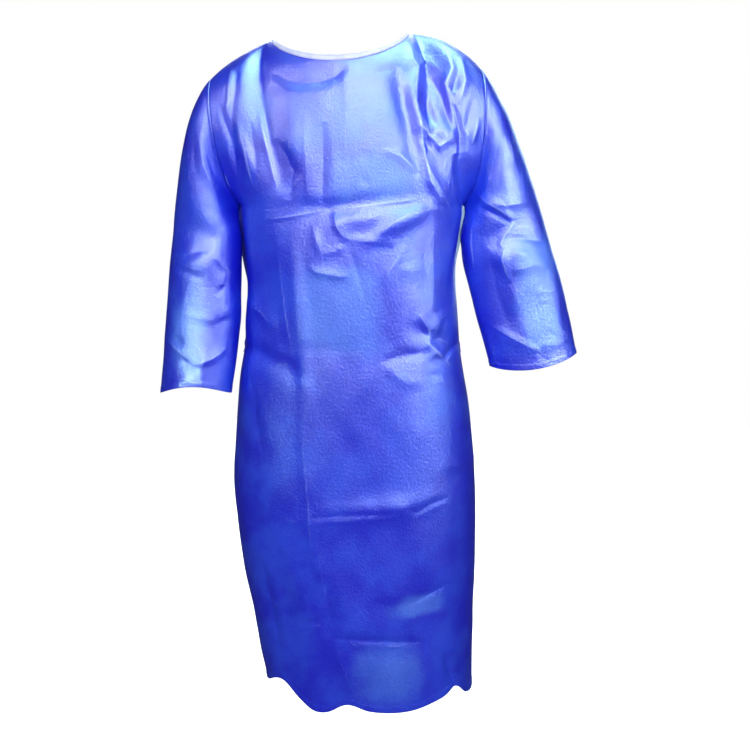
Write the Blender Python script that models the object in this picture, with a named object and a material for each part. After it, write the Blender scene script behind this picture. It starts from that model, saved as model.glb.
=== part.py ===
"""A disposable surgical gown, held up at the shoulders with its hollow form kept.

Metres, +Z up. The front faces -Y and the origin is the middle of the neck and shoulder line.
Each cut piece of cloth is a grid laid over a surface that is worked out from sections, then
given its wall. Tables are in millimetres.
"""

import math

import bmesh
import bpy
import numpy as np

MM = 0.001
STEP = 0.001

# Cloth
WALL = 1.5 * MM
SEAM_GAP = 0.3 * MM
ARMHOLE_GAP = 0.4 * MM

# Length and sections of the body. Columns: height, left side, right side, front, back
HEM_Z = -1105 * MM
CHEST_Z = -280 * MM
BODY_SECTIONS = (
    (-1105, -145, 212, -150, 128),
    (-1038, -158, 213, -149, 128),
    (-966, -171, 214, -147, 129),
    (-895, -185, 216, -145, 130),
    (-824, -195, 217, -143, 130),
    (-762, -201, 216, -141, 128),
    (-683, -197, 210, -138, 124),
    (-613, -193, 203, -136, 118),
    (-561, -188, 194, -134, 112),
    (-518, -180, 187, -131, 108),
    (-475, -178, 184, -132, 109),
    (-423, -175, 180, -133, 111),
    (-338, -180, 183, -131, 113),
    (-280, -184, 192, -125, 113),
)
SQUARENESS = 2.3

# Fullness of the back panels just behind the side seams, under the arms.
# Columns: height, fullness at the left, at the right
BACK_FULLNESS = ((-1105, 0, 0), (-450, 0, 0), (-410, 12, 0), (-380, 20, 10), (-340, 24, 20), (-280, 26, 24))
FULLNESS_PEAK = math.radians(18)
FULLNESS_END = math.radians(65)

# Line of the hem. Columns: share of the width, height
HEM_FRONT = (
    (0.00, -1100), (0.10, -1089), (0.20, -1077), (0.26, -1103), (0.31, -1118), (0.35, -1118),
    (0.42, -1103), (0.50, -1114), (0.56, -1117), (0.65, -1115), (0.71, -1108), (0.77, -1098),
    (0.81, -1088), (0.87, -1107), (0.93, -1111), (1.00, -1110),
)
HEM_BACK = ((0.00, -1100), (0.22, -1108), (0.42, -1097), (0.62, -1110), (0.80, -1099), (1.00, -1110))
HEM_REACH = 0.22

# Shoulder seams. Columns: x, y, z at the neck, in the middle and at the sleeve
SHOULDER_LEFT = ((-126, 5, -3), (-183, 4, -31), (-231, 0, -68))
SHOULDER_RIGHT = ((95, 5, 8), (166, 3, -8), (219, 0, -50))
SHOULDER_COLUMNS = 6
NECK_DEPTH_FRONT = 95 * MM
NECK_DROP_FRONT = 43 * MM
NECK_DEPTH_BACK = 58 * MM
NECK_DROP_BACK = 24 * MM
NECK_ROUNDNESS = 1.3

# How the yoke leaves the chest section and reaches its top edge.
# Columns: share of the width from the edge, then out, off the figure and up at the chest,
# then in, back to the seam and up at the top edge
YOKE_FRONT = (
    (0.00, 130, 220, 130, 15, 270, 0),
    (0.12, 30, 70, 215, 10, 300, 0),
    (0.23, 0, 15, 240, 150, 170, 40),
    (0.34, 0, 0, 240, 90, 120, 140),
    (0.50, 0, 0, 240, 0, 70, 180),
)
YOKE_BACK = (
    (0.00, 130, 200, 130, 15, 250, 0),
    (0.12, 30, 70, 215, 10, 280, 0),
    (0.23, 0, 25, 240, 150, 190, 30),
    (0.34, 0, 15, 250, 90, 170, 90),
    (0.50, 0, 10, 260, 0, 150, 120),
)
CHEST_SHARE = 0.74

# Back opening: the left panel lies over the right one
LAP_COLUMNS = 2
UNDERLAP_INSET = 5 * MM

# Sleeves. Columns: height, middle x, middle y, half width, half depth, rise to +X, arch
SLEEVE_LEFT = (
    (-340, -242.5, -4, 59.5, 62, 0.00, 0.00),
    (-413, -246, -14, 62, 60, 0.00, 0.08),
    (-472, -248.5, -24, 63, 58, 0.00, 0.15),
    (-530, -253, -34, 62, 56, 0.00, 0.22),
    (-594, -259.5, -44, 60, 54, 0.00, 0.28),
)
SLEEVE_RIGHT = (
    (-340, 263.5, 0, 76, 60, 0.00, 0.00),
    (-375, 270.5, -3, 79, 58, 0.02, 0.00),
    (-413, 281, -6, 79, 56, 0.06, -0.05),
    (-472, 296, -12, 77, 51, 0.12, -0.15),
    (-540, 312, -18, 74, 46, 0.16, -0.28),
)
CAP_SHARE = 0.50
CAP_TANGENT = 20 * MM
HEAD_TURN = 0.08
# Columns: how far out and down the sleeve's cap leaves the armhole
CAP_LEFT = (0.52, 0.48)
CAP_RIGHT = (0.45, 0.52)

# Largest folds, raised or sunk along the surface.
# Columns: x and z at one end, x and z at the other, width, height
FRONT_FOLDS = (
    (-127, -300, 120, -268, 16, -5),
    (-40, -306, 110, -290, 14, 4),
    (40, -332, 132, -284, 13, 6),
    (76, -75, 108, -200, 12, -5),
    (96, -80, 122, -205, 10, 4),
    (-128, -175, -106, -262, 17, -5),
    (-88, -120, -90, -220, 15, 5),
    (112, -155, 172, -166, 13, 5),
    (-60, -795, 160, -765, 20, 5),
    (-92, -330, -66, -620, 13, 4),
    (100, -480, 178, -512, 12, -4),
    (-165, -520, -60, -560, 16, -4),
    (0, -900, 12, -1080, 30, 5),
    (-110, -850, -95, -1090, 26, -5),
    (110, -880, 128, -1095, 26, -5),
)
BACK_FOLDS = (
    (-150, -290, -40, -250, 17, -5),
    (40, -250, 150, -285, 17, -5),
    (-130, -600, -110, -1060, 28, 6),
    (90, -590, 110, -1050, 28, 6),
    (-60, -540, -75, -900, 24, -5),
    (120, -400, 60, -500, 20, 5),
    (-120, -390, -60, -495, 20, 5),
)
# Columns: share around from the outer edge over the front, share along, both again at the far
# end, width as a share around, height
SLEEVE_FOLDS = (
    (0.10, 0.42, 0.34, 0.50, 0.06, -5),
    (0.08, 0.60, 0.36, 0.55, 0.05, 4),
    (0.16, 0.72, 0.38, 0.86, 0.06, -4),
    (0.62, 0.45, 0.88, 0.52, 0.06, -5),
    (0.64, 0.74, 0.86, 0.66, 0.06, 4),
)

# Shares over which folds die out at a panel's sides, at its top and at a sleeve's head
FADE_SIDE = 0.06
FADE_TOP = 0.05
FADE_SLEEVE_HEAD = 0.12
FOLD_END = 0.08

# Binding of the neck edge
BINDING_WALL = 0.8 * MM
BINDING_CLEAR = 0.8 * MM
BINDING_OUTER_LEG = 7 * MM
BINDING_INNER_LEG = 3 * MM

# Waist ties, their knot and ends
TIE_Z = -518 * MM
TIE_WIDTH = 24 * MM
TIE_WALL = 1.0 * MM
TIE_CLEAR = 0.4 * MM
TIE_COLUMNS = 12
KNOT_SIZE = (30 * MM, 14 * MM, 22 * MM)
KNOT_SIDES = (12, 8)
TAIL_CLEAR = 0.6 * MM
TAIL_DROP = 4 * MM
TAIL_ROWS = 8
# Columns: share across at the knot and at the free end, length as a share of the panel
TAIL_LEFT = (0.460, 0.435, 0.16)
TAIL_RIGHT = (0.538, 0.565, 0.19)

# Touch fastener between the back panels
FASTENER_CLEAR = 0.4 * MM
FASTENER_COLUMNS = (12, 14)

# Grid lines of the pieces: columns across a panel, rows below and above the tie, rows in the yoke
COLUMNS = 26
ROWS_BELOW_TIE = 13
ROWS_ABOVE_TIE = 6
ROWS_IN_YOKE = 9
EDGE_BAND = 0.05
CAP_ROWS = 6
SLEEVE_ROWS = 7

SHARP_ANGLE = math.radians(50)
WELD = 0.01 * MM
BLUE = (0.030, 0.060, 0.620)
PALE = (0.720, 0.740, 0.900)


def panel_levels():
    """Heights of a panel's rows: two at the tie's edges and one just under the top edge."""
    tie = (np.array([-0.5, 0.5]) * TIE_WIDTH + TIE_Z - HEM_Z) / (CHEST_Z - HEM_Z) * CHEST_SHARE
    below = np.linspace(0, tie[0], ROWS_BELOW_TIE + 1)
    above = np.linspace(tie[1], CHEST_SHARE, ROWS_ABOVE_TIE + 1)
    return np.concatenate([below, above, CHEST_SHARE + (1 - CHEST_SHARE) * yoke_levels()[1:]])


def halves():
    """Rows of a panel below and above the line of the waist ties, where its solid is in two."""
    rows = panel_levels()
    line = rows[ROWS_BELOW_TIE:ROWS_BELOW_TIE + 2].mean()
    gap = SEAM_GAP / 2 / (CHEST_Z - HEM_Z) * CHEST_SHARE
    lower = np.append(rows[:ROWS_BELOW_TIE + 1], line - gap)
    return lower, np.append(line + gap, rows[ROWS_BELOW_TIE + 1:])


def yoke_levels():
    return np.append(np.linspace(0, 1 - EDGE_BAND, ROWS_IN_YOKE + 1), 1.0)


def sleeve_columns():
    """Shares around a sleeve that meet the rows of the yoke at the armhole."""
    levels = yoke_levels()
    return np.concatenate([(1 - levels[::-1]) / 2, (1 + levels[1:]) / 2])


def clear_scene():
    for item in list(bpy.data.objects):
        bpy.data.objects.remove(item)


def material(name, colour, roughness):
    made = bpy.data.materials.new(name)
    made.use_nodes = True
    shader = made.node_tree.nodes["Principled BSDF"]
    shader.inputs["Base Color"].default_value = (*colour, 1.0)
    shader.inputs["Roughness"].default_value = roughness
    shader.inputs["Metallic"].default_value = 0.0
    return made


def read_curve(keys, values, at):
    """Smooth curve through a table's rows, with a slope at each row from its neighbours."""
    order = np.argsort(keys)
    keys = np.asarray(keys, float)[order]
    values = np.asarray(values, float)[order]
    at = np.clip(at, keys[0], keys[-1])
    slopes = np.gradient(values, keys, axis=0)
    cell = np.clip(np.searchsorted(keys, at, side="right") - 1, 0, len(keys) - 2)
    span = keys[cell + 1] - keys[cell]
    t = (at - keys[cell]) / span
    shape = (-1,) + (1,) * (values.ndim - 1)
    t, span = t.reshape(shape), span.reshape(shape)
    start, end = values[cell], values[cell + 1]
    return hermite(start, end, slopes[cell] * span, slopes[cell + 1] * span, t)


def hermite(start, end, leaving, arriving, t):
    return (
        start * (2 * t**3 - 3 * t**2 + 1)
        + leaving * (t**3 - 2 * t**2 + t)
        + end * (3 * t**2 - 2 * t**3)
        + arriving * (t**3 - t**2)
    )


def ease(low, high, value):
    t = np.clip((value - low) / (high - low), 0.0, 1.0)
    return t * t * (3 - 2 * t)


def body_ring(side, u, z):
    """Point of the body's section: u runs from the left side to the right, over front or back."""
    table = np.array(BODY_SECTIONS) * MM
    left, right, front, back = read_curve(table[:, 0], table[:, 1:], z).T
    angle = np.pi * (1 - u)
    half = (right - left) / 2
    depth = np.abs(back if side > 0 else front)
    cosine, sine = np.cos(angle), np.sin(angle)
    reach = (np.abs(cosine / half) ** SQUARENESS + np.abs(sine / depth) ** SQUARENESS) ** (-1 / SQUARENESS)
    if side > 0:
        full = np.array(BACK_FULLNESS) * MM
        at_left, at_right = read_curve(full[:, 0], full[:, 1:], z).T
        from_seam = np.minimum(angle, np.pi - angle)
        swell = ease(0, FULLNESS_PEAK, from_seam) * (1 - ease(FULLNESS_PEAK, FULLNESS_END, from_seam))
        reach = reach + swell * np.where(u < 0.5, at_left, at_right)
    return np.stack([(left + right) / 2 + reach * cosine, side * reach * sine, z], -1)


def shoulder_point(table, t):
    """Point of a shoulder seam, t from the sleeve to the neck."""
    neck, middle, tip = (np.array(row) * MM for row in table)
    t = t[:, None]
    return tip * (1 - t) * (1 - 2 * t) + middle * 4 * t * (1 - t) + neck * t * (2 * t - 1)


def neck_point(side, t):
    """Point of the neck edge, t from the left shoulder seam to the right one."""
    left = np.array(SHOULDER_LEFT[0]) * MM
    right = np.array(SHOULDER_RIGHT[0]) * MM
    depth, drop = (NECK_DEPTH_BACK, NECK_DROP_BACK) if side > 0 else (NECK_DEPTH_FRONT, NECK_DROP_FRONT)
    across = 0.5 - 0.5 * np.cos(np.pi * t)
    point = left + (right - left) * across[:, None]
    point[:, 1] += side * depth * np.sin(np.pi * t)
    point[:, 2] -= drop * np.sin(np.pi * t) ** NECK_ROUNDNESS
    return point


def top_edge(side, u):
    share = SHOULDER_COLUMNS / COLUMNS
    on_left = shoulder_point(SHOULDER_LEFT, np.clip(u / share, 0, 1))
    on_right = shoulder_point(SHOULDER_RIGHT, np.clip((1 - u) / share, 0, 1))
    on_neck = neck_point(side, np.clip((u - share) / (1 - 2 * share), 0, 1))
    u = u[:, None]
    return np.where(u < share, on_left, np.where(u > 1 - share, on_right, on_neck))


def yoke(side, u, t):
    """Upper part of a panel, t from the chest section to the shoulder seams and the neck edge."""
    table = np.array(YOKE_BACK if side > 0 else YOKE_FRONT)
    pull = read_curve(table[:, 0], table[:, 1:] * MM, np.minimum(u, 1 - u))
    outward = np.where(u < 0.5, -1.0, 1.0)
    leaving = np.stack([outward * pull[:, 0], side * pull[:, 1], pull[:, 2]], -1)
    arriving = np.stack([-outward * pull[:, 3], -side * pull[:, 4], pull[:, 5]], -1)
    start = body_ring(side, u, np.full_like(u, CHEST_Z))
    return hermite(start, top_edge(side, u), leaving, arriving, t[:, None])


def panel(side, u, v):
    """Whole panel, v from the hem to its top edge."""
    hem = np.array(HEM_BACK if side > 0 else HEM_FRONT)
    z = HEM_Z + (CHEST_Z - HEM_Z) * np.clip(v / CHEST_SHARE, 0, 1)
    z += (read_curve(hem[:, 0], hem[:, 1] * MM, u) - HEM_Z) * (1 - ease(0, HEM_REACH, v))
    t = np.clip((v - CHEST_SHARE) / (1 - CHEST_SHARE), 0, 1)
    low = body_ring(side, u, z)
    return np.where(v[:, None] <= CHEST_SHARE, low, yoke(side, u, t))


def unit(vectors):
    return vectors / np.linalg.norm(vectors, axis=1, keepdims=True)


def normals(surface, u, v, closed=False):
    """Directions square to the surface; a closed one goes on past u of 0 and 1."""
    low, high = (u - STEP, u + STEP) if closed else (np.maximum(u - STEP, 0), np.minimum(u + STEP, 1))
    across = surface(high, v) - surface(low, v)
    along = surface(u, np.minimum(v + STEP, 1)) - surface(u, np.maximum(v - STEP, 0))
    return unit(np.cross(across, along))


def fold_height(table, first, second):
    """Sum of the folds at points given in the table's two coordinates."""
    total = np.zeros_like(first)
    for a0, b0, a1, b1, width, height in table:
        run = np.array([a1 - a0, b1 - b0])
        t = np.clip(((first - a0) * run[0] + (second - b0) * run[1]) / (run @ run), 0, 1)
        away = np.hypot(first - a0 - t * run[0], second - b0 - t * run[1])
        swell = np.sin(np.pi * (FOLD_END + (1 - 2 * FOLD_END) * t))
        total += height * np.exp(-((away / width) ** 2)) * swell
    return total


def panel_shape(side):
    """Points and outward directions of the front (-1) or the back (+1), folds included."""
    def base(u, v):
        return panel(side, u, v)

    def shape(u, v):
        point = base(u, v)
        out = normals(base, u, v) * -side
        seam = (v > 1 - 1e-6) & (np.minimum(u, 1 - u) < SHOULDER_COLUMNS / COLUMNS)
        out[seam, 1] = 0
        out = unit(out)
        table = BACK_FOLDS if side > 0 else FRONT_FOLDS
        fade = ease(0, FADE_SIDE, np.minimum(u, 1 - u)) * ease(0, FADE_TOP, 1 - v)
        lift = fold_height(table, point[:, 0] / MM, point[:, 2] / MM) * MM * fade
        point = point + out * lift[:, None]
        point[:, 1] += side * SEAM_GAP / 2
        return point, out

    return shape


def back_right_shape(u, v):
    """The under layer steps in where the other panel lies over it."""
    point, out = panel_shape(1)(u, v)
    lap = LAP_COLUMNS / COLUMNS
    inset = UNDERLAP_INSET * (1 - ease(0.5 + lap, 0.5 + 2 * lap, u))
    return point - out * inset[:, None], out


def armhole(edge, around):
    """Closed armhole curve: from the shoulder over the front, under the arm and up the back."""
    edge_u = np.full_like(around, edge)
    front = yoke(-1, edge_u, np.clip(1 - 2 * around, 0, 1))
    back = yoke(1, edge_u, np.clip(2 * around - 1, 0, 1))
    return np.where(around[:, None] <= 0.5, front, back)


def armhole_out(edge, around):
    """Outward direction of the panels along the armhole."""
    edge_u = np.full_like(around, edge)
    side = np.where(around <= 0.5, -1, 1)
    v = CHEST_SHARE + (1 - CHEST_SHARE) * np.abs(1 - 2 * around)
    front = panel_shape(-1)(edge_u, v)[1]
    back = panel_shape(1)(edge_u, v)[1]
    return np.where(side[:, None] < 0, front, back)


def sleeve_ring(table, outward, around, z):
    table = np.array(table)
    table[:, :5] *= MM
    cx, cy, half_width, half_depth, rise, arch = read_curve(table[:, 0], table[:, 1:], z).T
    x = outward * half_width * np.cos(2 * np.pi * around)
    y = -half_depth * np.sin(2 * np.pi * around)
    return np.stack([cx + x, cy + y, z + rise * x + arch * y**2 / half_depth], -1)


def sleeve_shape(table, cap_pull, outward):
    """Points and outward directions of a sleeve, v from the armhole to the cuff."""
    edge = 0.0 if outward < 0 else 1.0
    top_z, cuff_z = table[0][0] * MM, table[-1][0] * MM

    def base(u, v):
        around = u % 1.0
        start = armhole(edge, around)
        start[:, 0] += outward * ARMHOLE_GAP
        t = np.clip(v / CAP_SHARE, 0, 1)[:, None]
        end = sleeve_ring(table, outward, around, np.full_like(u, top_z))
        below = sleeve_ring(table, outward, around, np.full_like(u, top_z - CAP_TANGENT))
        reach = np.linalg.norm(end - start, axis=1, keepdims=True)
        leaving = reach * np.array([outward * cap_pull[0], 0, -cap_pull[1]])
        arriving = reach * (below - end) / CAP_TANGENT
        cap = hermite(start, end, leaving, arriving, t)
        z = top_z + (cuff_z - top_z) * np.clip((v - CAP_SHARE) / (1 - CAP_SHARE), 0, 1)
        tube = sleeve_ring(table, outward, around, z)
        return np.where(v[:, None] <= CAP_SHARE, cap, tube)

    def shape(u, v):
        point = base(u, v)
        out = normals(base, u, v, closed=True) * outward
        out = unit(out + (armhole_out(edge, u % 1.0) - out) * (1 - ease(0, HEAD_TURN, v))[:, None])
        lift = fold_height(SLEEVE_FOLDS, u % 1.0, v) * MM * ease(0, FADE_SLEEVE_HEAD, v)
        return point + out * lift[:, None], out

    return shape


def cloth(name, shape, columns, rows, look, closed=False, wall=WALL):
    """A grid with the given columns and rows laid over the shape, then a wall inwards from it."""
    mesh = bmesh.new()
    bmesh.ops.create_grid(mesh, x_segments=len(columns) - 1, y_segments=len(rows) - 1, size=0.5)
    flat = np.array([vert.co[:] for vert in mesh.verts])
    u = np.interp(flat[:, 0] + 0.5, np.linspace(0, 1, len(columns)), columns)
    v = np.interp(flat[:, 1] + 0.5, np.linspace(0, 1, len(rows)), rows)
    points, out = shape(u, v)
    kept_u, kept_v = mesh.verts.layers.float.new("u"), mesh.verts.layers.float.new("v")
    for vert, point, across, along in zip(mesh.verts, points, u, v):
        vert.co = point
        vert[kept_u] = across
        vert[kept_v] = along
    if closed:
        bmesh.ops.remove_doubles(mesh, verts=mesh.verts, dist=WELD)
    made = bmesh.ops.extrude_face_region(mesh, geom=mesh.faces[:])["geom"]
    inner = [item for item in made if isinstance(item, bmesh.types.BMVert)]
    u, v = (np.array([vert[layer] for vert in inner]) for layer in (kept_u, kept_v))
    points, out = shape(u, v)
    for vert, point in zip(inner, points - out * wall):
        vert.co = point
    return add_object(name, mesh, look)


def add_object(name, mesh, look):
    bmesh.ops.recalc_face_normals(mesh, faces=mesh.faces)
    data = bpy.data.meshes.new(name)
    mesh.to_mesh(data)
    mesh.free()
    data.materials.append(look)
    data.shade_smooth()
    data.set_sharp_from_angle(angle=SHARP_ANGLE)
    made = bpy.data.objects.new(name, data)
    bpy.context.scene.collection.objects.link(made)
    return made


def binding_line():
    """Neck edge from the under layer's free edge round the front to the outer layer's.

    Gives the edge's points, the points one row below and the outward directions."""
    columns = np.arange(COLUMNS + 1) / COLUMNS
    corner, middle = SHOULDER_COLUMNS, COLUMNS // 2
    under = columns[middle - LAP_COLUMNS:COLUMNS - corner + 1]
    front = columns[corner:COLUMNS - corner + 1][::-1]
    outer = columns[corner:middle + LAP_COLUMNS + 1]
    edge, below = np.ones_like, (lambda u: np.full_like(u, panel_levels()[-2]))
    parts = ((back_right_shape, under), (panel_shape(-1), front), (panel_shape(1), outer))
    top, out = (np.concatenate([shape(u, edge(u))[k] for shape, u in parts]) for k in (0, 1))
    low = np.concatenate([shape(u, below(u))[0] for shape, u in parts])
    for index, column in ((len(under) + len(front), corner - 1), (len(under), COLUMNS - corner + 1)):
        seam = panel_shape(-1)(columns[column:column + 1], np.ones(1))[0]
        top = np.insert(top, index, (top[index - 1] + top[index]) / 2, axis=0)
        out = np.insert(out, index, (out[index - 1] + out[index]) / 2, axis=0)
        low = np.insert(low, index, seam, axis=0)
    return top, low, out


def neck_binding(look):
    """Tape folded over the neck edge: a long leg outside, a short one inside."""
    points, below, out = binding_line()
    down = unit(below - points)
    near, far = BINDING_CLEAR, BINDING_CLEAR + BINDING_WALL
    section = (
        (far, BINDING_OUTER_LEG), (far, -far), (-WALL - far, -far), (-WALL - far, BINDING_INNER_LEG),
        (-WALL - near, BINDING_INNER_LEG), (-WALL - near, -near), (near, -near), (near, BINDING_OUTER_LEG),
    )
    mesh = bmesh.new()
    sides, stations = len(section), len(points) - 1
    bmesh.ops.create_grid(mesh, x_segments=sides, y_segments=stations, size=0.5)
    for vert in mesh.verts:
        a, b = section[round((vert.co.x + 0.5) * sides) % sides]
        station = round((vert.co.y + 0.5) * stations)
        vert.co = points[station] + out[station] * a + down[station] * b
    bmesh.ops.remove_doubles(mesh, verts=mesh.verts, dist=WELD)
    bmesh.ops.holes_fill(mesh, edges=mesh.edges[:], sides=sides)
    return add_object("neck_binding", mesh, look)


def back_facets(u, v):
    """Point and outward direction on the flat facets of the outer back layer."""
    columns, rows = np.arange(COLUMNS + 1) / COLUMNS, panel_levels()
    i = np.clip(np.searchsorted(columns, u, side="right") - 1, 0, len(columns) - 2)
    j = np.clip(np.searchsorted(rows, v, side="right") - 1, 0, len(rows) - 2)
    a = ((u - columns[i]) / (columns[i + 1] - columns[i]))[:, None]
    b = ((v - rows[j]) / (rows[j + 1] - rows[j]))[:, None]
    surface = panel_shape(1)
    low = [surface(columns[k], rows[j]) for k in (i, i + 1)]
    high = [surface(columns[k], rows[j + 1]) for k in (i, i + 1)]
    mixed = [(low[0][k] * (1 - a) + low[1][k] * a) * (1 - b) + (high[0][k] * (1 - a) + high[1][k] * a) * b
             for k in (0, 1)]
    return mixed[0], unit(mixed[1])


def tail_shape(tail, top):
    """Hanging end of a tie: s runs across it, t down its length."""
    start, end, length = tail

    def centre(t):
        point, out = back_facets(start + (end - start) * t, top - length * t)
        return point + out * (TAIL_CLEAR + TIE_WALL), out

    def shape(s, t):
        point, out = centre(t)
        along = centre(np.minimum(t + STEP, 1))[0] - centre(np.maximum(t - STEP, 0))[0]
        side = unit(np.cross(out, along))
        return point + side * ((s - 0.5) * TIE_WIDTH)[:, None], out

    return shape


def waist_ties(look):
    """Ties from the side seams to the centre back, with the knot and its two ends."""
    rows = panel_levels()[ROWS_BELOW_TIE:ROWS_BELOW_TIE + 2]
    columns = np.arange(COLUMNS + 1) / COLUMNS
    tie_v = rows.mean()

    def lifted(u, v):
        point, out = panel_shape(1)(u, v)
        point[:, 1] += SEAM_GAP
        return point + out * (TIE_CLEAR + TIE_WALL), out

    cloth("waist_tie_left", lifted, columns[:TIE_COLUMNS + 1], rows, look, wall=TIE_WALL)
    cloth("waist_tie_right", lifted, columns[COLUMNS - TIE_COLUMNS:], rows, look, wall=TIE_WALL)
    middle, out = back_facets(np.array([0.5]), np.array([tie_v]))
    knot = bmesh.new()
    bmesh.ops.create_uvsphere(knot, u_segments=KNOT_SIDES[0], v_segments=KNOT_SIDES[1], radius=0.5)
    bmesh.ops.scale(knot, vec=KNOT_SIZE, verts=knot.verts)
    bmesh.ops.translate(knot, vec=middle[0] + out[0] * (KNOT_SIZE[1] / 2 + TIE_CLEAR), verts=knot.verts)
    add_object("waist_knot", knot, look)
    tail_top = tie_v - (KNOT_SIZE[2] / 2 + TAIL_DROP) / (CHEST_Z - HEM_Z) * CHEST_SHARE
    across, down = np.linspace(0, 1, 3), np.linspace(0, 1, TAIL_ROWS + 1)
    for name, tail in (("waist_tail_left", TAIL_LEFT), ("waist_tail_right", TAIL_RIGHT)):
        cloth(name, tail_shape(tail, tail_top), across, down, look, wall=TIE_WALL)


def neck_fastener(look):
    """Touch fastener that fills the space between the two back panels under the nape."""
    def shape(u, v):
        point, out = panel_shape(1)(u, v)
        return point - out * (WALL + FASTENER_CLEAR), out

    columns = np.arange(FASTENER_COLUMNS[0], FASTENER_COLUMNS[1] + 1) / COLUMNS
    thickness = UNDERLAP_INSET - WALL - 2 * FASTENER_CLEAR
    cloth("neck_fastener", shape, columns, panel_levels()[-3:-1], look, wall=thickness)


def main():
    clear_scene()
    film = material("gown_film", BLUE, 0.35)
    tape = material("binding_tape", PALE, 0.55)
    columns, middle = np.arange(COLUMNS + 1) / COLUMNS, COLUMNS // 2
    for part, levels in zip(("lower", "upper"), halves()):
        cloth("front_" + part, panel_shape(-1), columns, levels, film)
        cloth("back_left_" + part, panel_shape(1), columns[:middle + LAP_COLUMNS + 1], levels, film)
        cloth("back_right_" + part, back_right_shape, columns[middle - LAP_COLUMNS:], levels, film)
    cap, tube = np.linspace(0, CAP_SHARE, CAP_ROWS + 1), np.linspace(CAP_SHARE, 1, SLEEVE_ROWS + 1)
    around, along = sleeve_columns(), np.append(cap, tube[1:])
    cloth("sleeve_left", sleeve_shape(SLEEVE_LEFT, CAP_LEFT, -1), around, along, film, closed=True)
    cloth("sleeve_right", sleeve_shape(SLEEVE_RIGHT, CAP_RIGHT, 1), around, along, film, closed=True)
    neck_binding(tape)
    neck_fastener(tape)
    waist_ties(film)


main()
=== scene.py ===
"""Looks of a disposable surgical gown in glossy blue film on nonwoven, worn shape kept.

Metres, +Z up, front towards -Y. Each cut piece is a fine grid over the same surface as its solid,
with its creases raised on it. Tables are in millimetres unless a name says otherwise.
"""

import math

import bmesh
import bpy
import numpy as np
from mathutils import Matrix, Vector


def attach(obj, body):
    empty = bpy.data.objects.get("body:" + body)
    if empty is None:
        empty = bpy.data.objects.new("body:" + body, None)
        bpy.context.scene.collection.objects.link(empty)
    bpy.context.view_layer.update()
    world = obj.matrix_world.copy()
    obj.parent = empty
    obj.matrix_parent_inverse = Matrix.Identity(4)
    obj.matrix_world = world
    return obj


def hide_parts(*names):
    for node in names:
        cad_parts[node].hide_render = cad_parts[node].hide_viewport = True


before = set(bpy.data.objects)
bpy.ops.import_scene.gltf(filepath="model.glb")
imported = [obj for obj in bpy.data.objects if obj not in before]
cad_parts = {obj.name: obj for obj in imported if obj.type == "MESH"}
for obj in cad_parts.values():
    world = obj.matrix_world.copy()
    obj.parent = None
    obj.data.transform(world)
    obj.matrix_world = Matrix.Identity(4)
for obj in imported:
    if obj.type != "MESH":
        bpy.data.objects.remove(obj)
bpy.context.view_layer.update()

MM = 0.001

# Step along a surface, as a share of it, from which its directions are read
STEP = 0.001

# Cloth
WALL = 1.5 * MM
SEAM_GAP = 0.04 * MM
ARMHOLE_GAP = 0.4 * MM

# Length and sections of the body. Columns: height, left side, right side, front, back
HEM_Z = -1105 * MM
CHEST_Z = -280 * MM
BODY_SECTIONS = (
    (-1105, -145, 212, -150, 128),
    (-1038, -158, 213, -149, 128),
    (-966, -171, 214, -147, 129),
    (-895, -185, 216, -145, 130),
    (-824, -195, 217, -143, 130),
    (-762, -201, 216, -141, 128),
    (-683, -197, 210, -138, 124),
    (-613, -193, 203, -136, 118),
    (-561, -188, 194, -134, 112),
    (-518, -180, 187, -131, 108),
    (-475, -178, 184, -132, 109),
    (-423, -175, 180, -133, 111),
    (-338, -180, 183, -131, 113),
    (-280, -184, 192, -125, 113),
)
SQUARENESS = 2.3

# Fullness of the back panels just behind the side seams, under the arms.
# Columns: height, fullness at the left, at the right
BACK_FULLNESS = ((-1105, 0, 0), (-450, 0, 0), (-410, 12, 0), (-380, 20, 10), (-340, 24, 20), (-280, 26, 24))
FULLNESS_PEAK = math.radians(18)
FULLNESS_END = math.radians(65)

# Line of the hem. Columns: share of the width, height
HEM_FRONT = (
    (0.00, -1100), (0.10, -1089), (0.20, -1077), (0.26, -1103), (0.31, -1118), (0.35, -1118),
    (0.42, -1103), (0.50, -1114), (0.56, -1117), (0.65, -1115), (0.71, -1108), (0.77, -1098),
    (0.81, -1088), (0.87, -1107), (0.93, -1111), (1.00, -1110),
)
HEM_BACK = ((0.00, -1100), (0.22, -1108), (0.42, -1097), (0.62, -1110), (0.80, -1099), (1.00, -1110))
HEM_REACH = 0.22

# Shoulder seams. Columns: x, y, z at the neck, in the middle and at the sleeve
SHOULDER_LEFT = ((-126, 5, -3), (-183, 4, -31), (-231, 0, -68))
SHOULDER_RIGHT = ((95, 5, 8), (166, 3, -8), (219, 0, -50))
SHOULDER_COLUMNS = 6
NECK_DEPTH_FRONT = 95 * MM
NECK_DROP_FRONT = 43 * MM
NECK_DEPTH_BACK = 58 * MM
NECK_DROP_BACK = 24 * MM
NECK_ROUNDNESS = 1.3

# How the yoke leaves the chest section and reaches its top edge.
# Columns: share of the width from the edge, then out, off the figure and up at the chest,
# then in, back to the seam and up at the top edge
YOKE_FRONT = (
    (0.00, 130, 220, 130, 15, 270, 0),
    (0.12, 30, 70, 215, 10, 300, 0),
    (0.23, 0, 15, 240, 150, 170, 40),
    (0.34, 0, 0, 240, 90, 120, 140),
    (0.50, 0, 0, 240, 0, 70, 180),
)
YOKE_BACK = (
    (0.00, 130, 200, 130, 15, 250, 0),
    (0.12, 30, 70, 215, 10, 280, 0),
    (0.23, 0, 25, 240, 150, 190, 30),
    (0.34, 0, 15, 250, 90, 170, 90),
    (0.50, 0, 10, 260, 0, 150, 120),
)
CHEST_SHARE = 0.74

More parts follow.
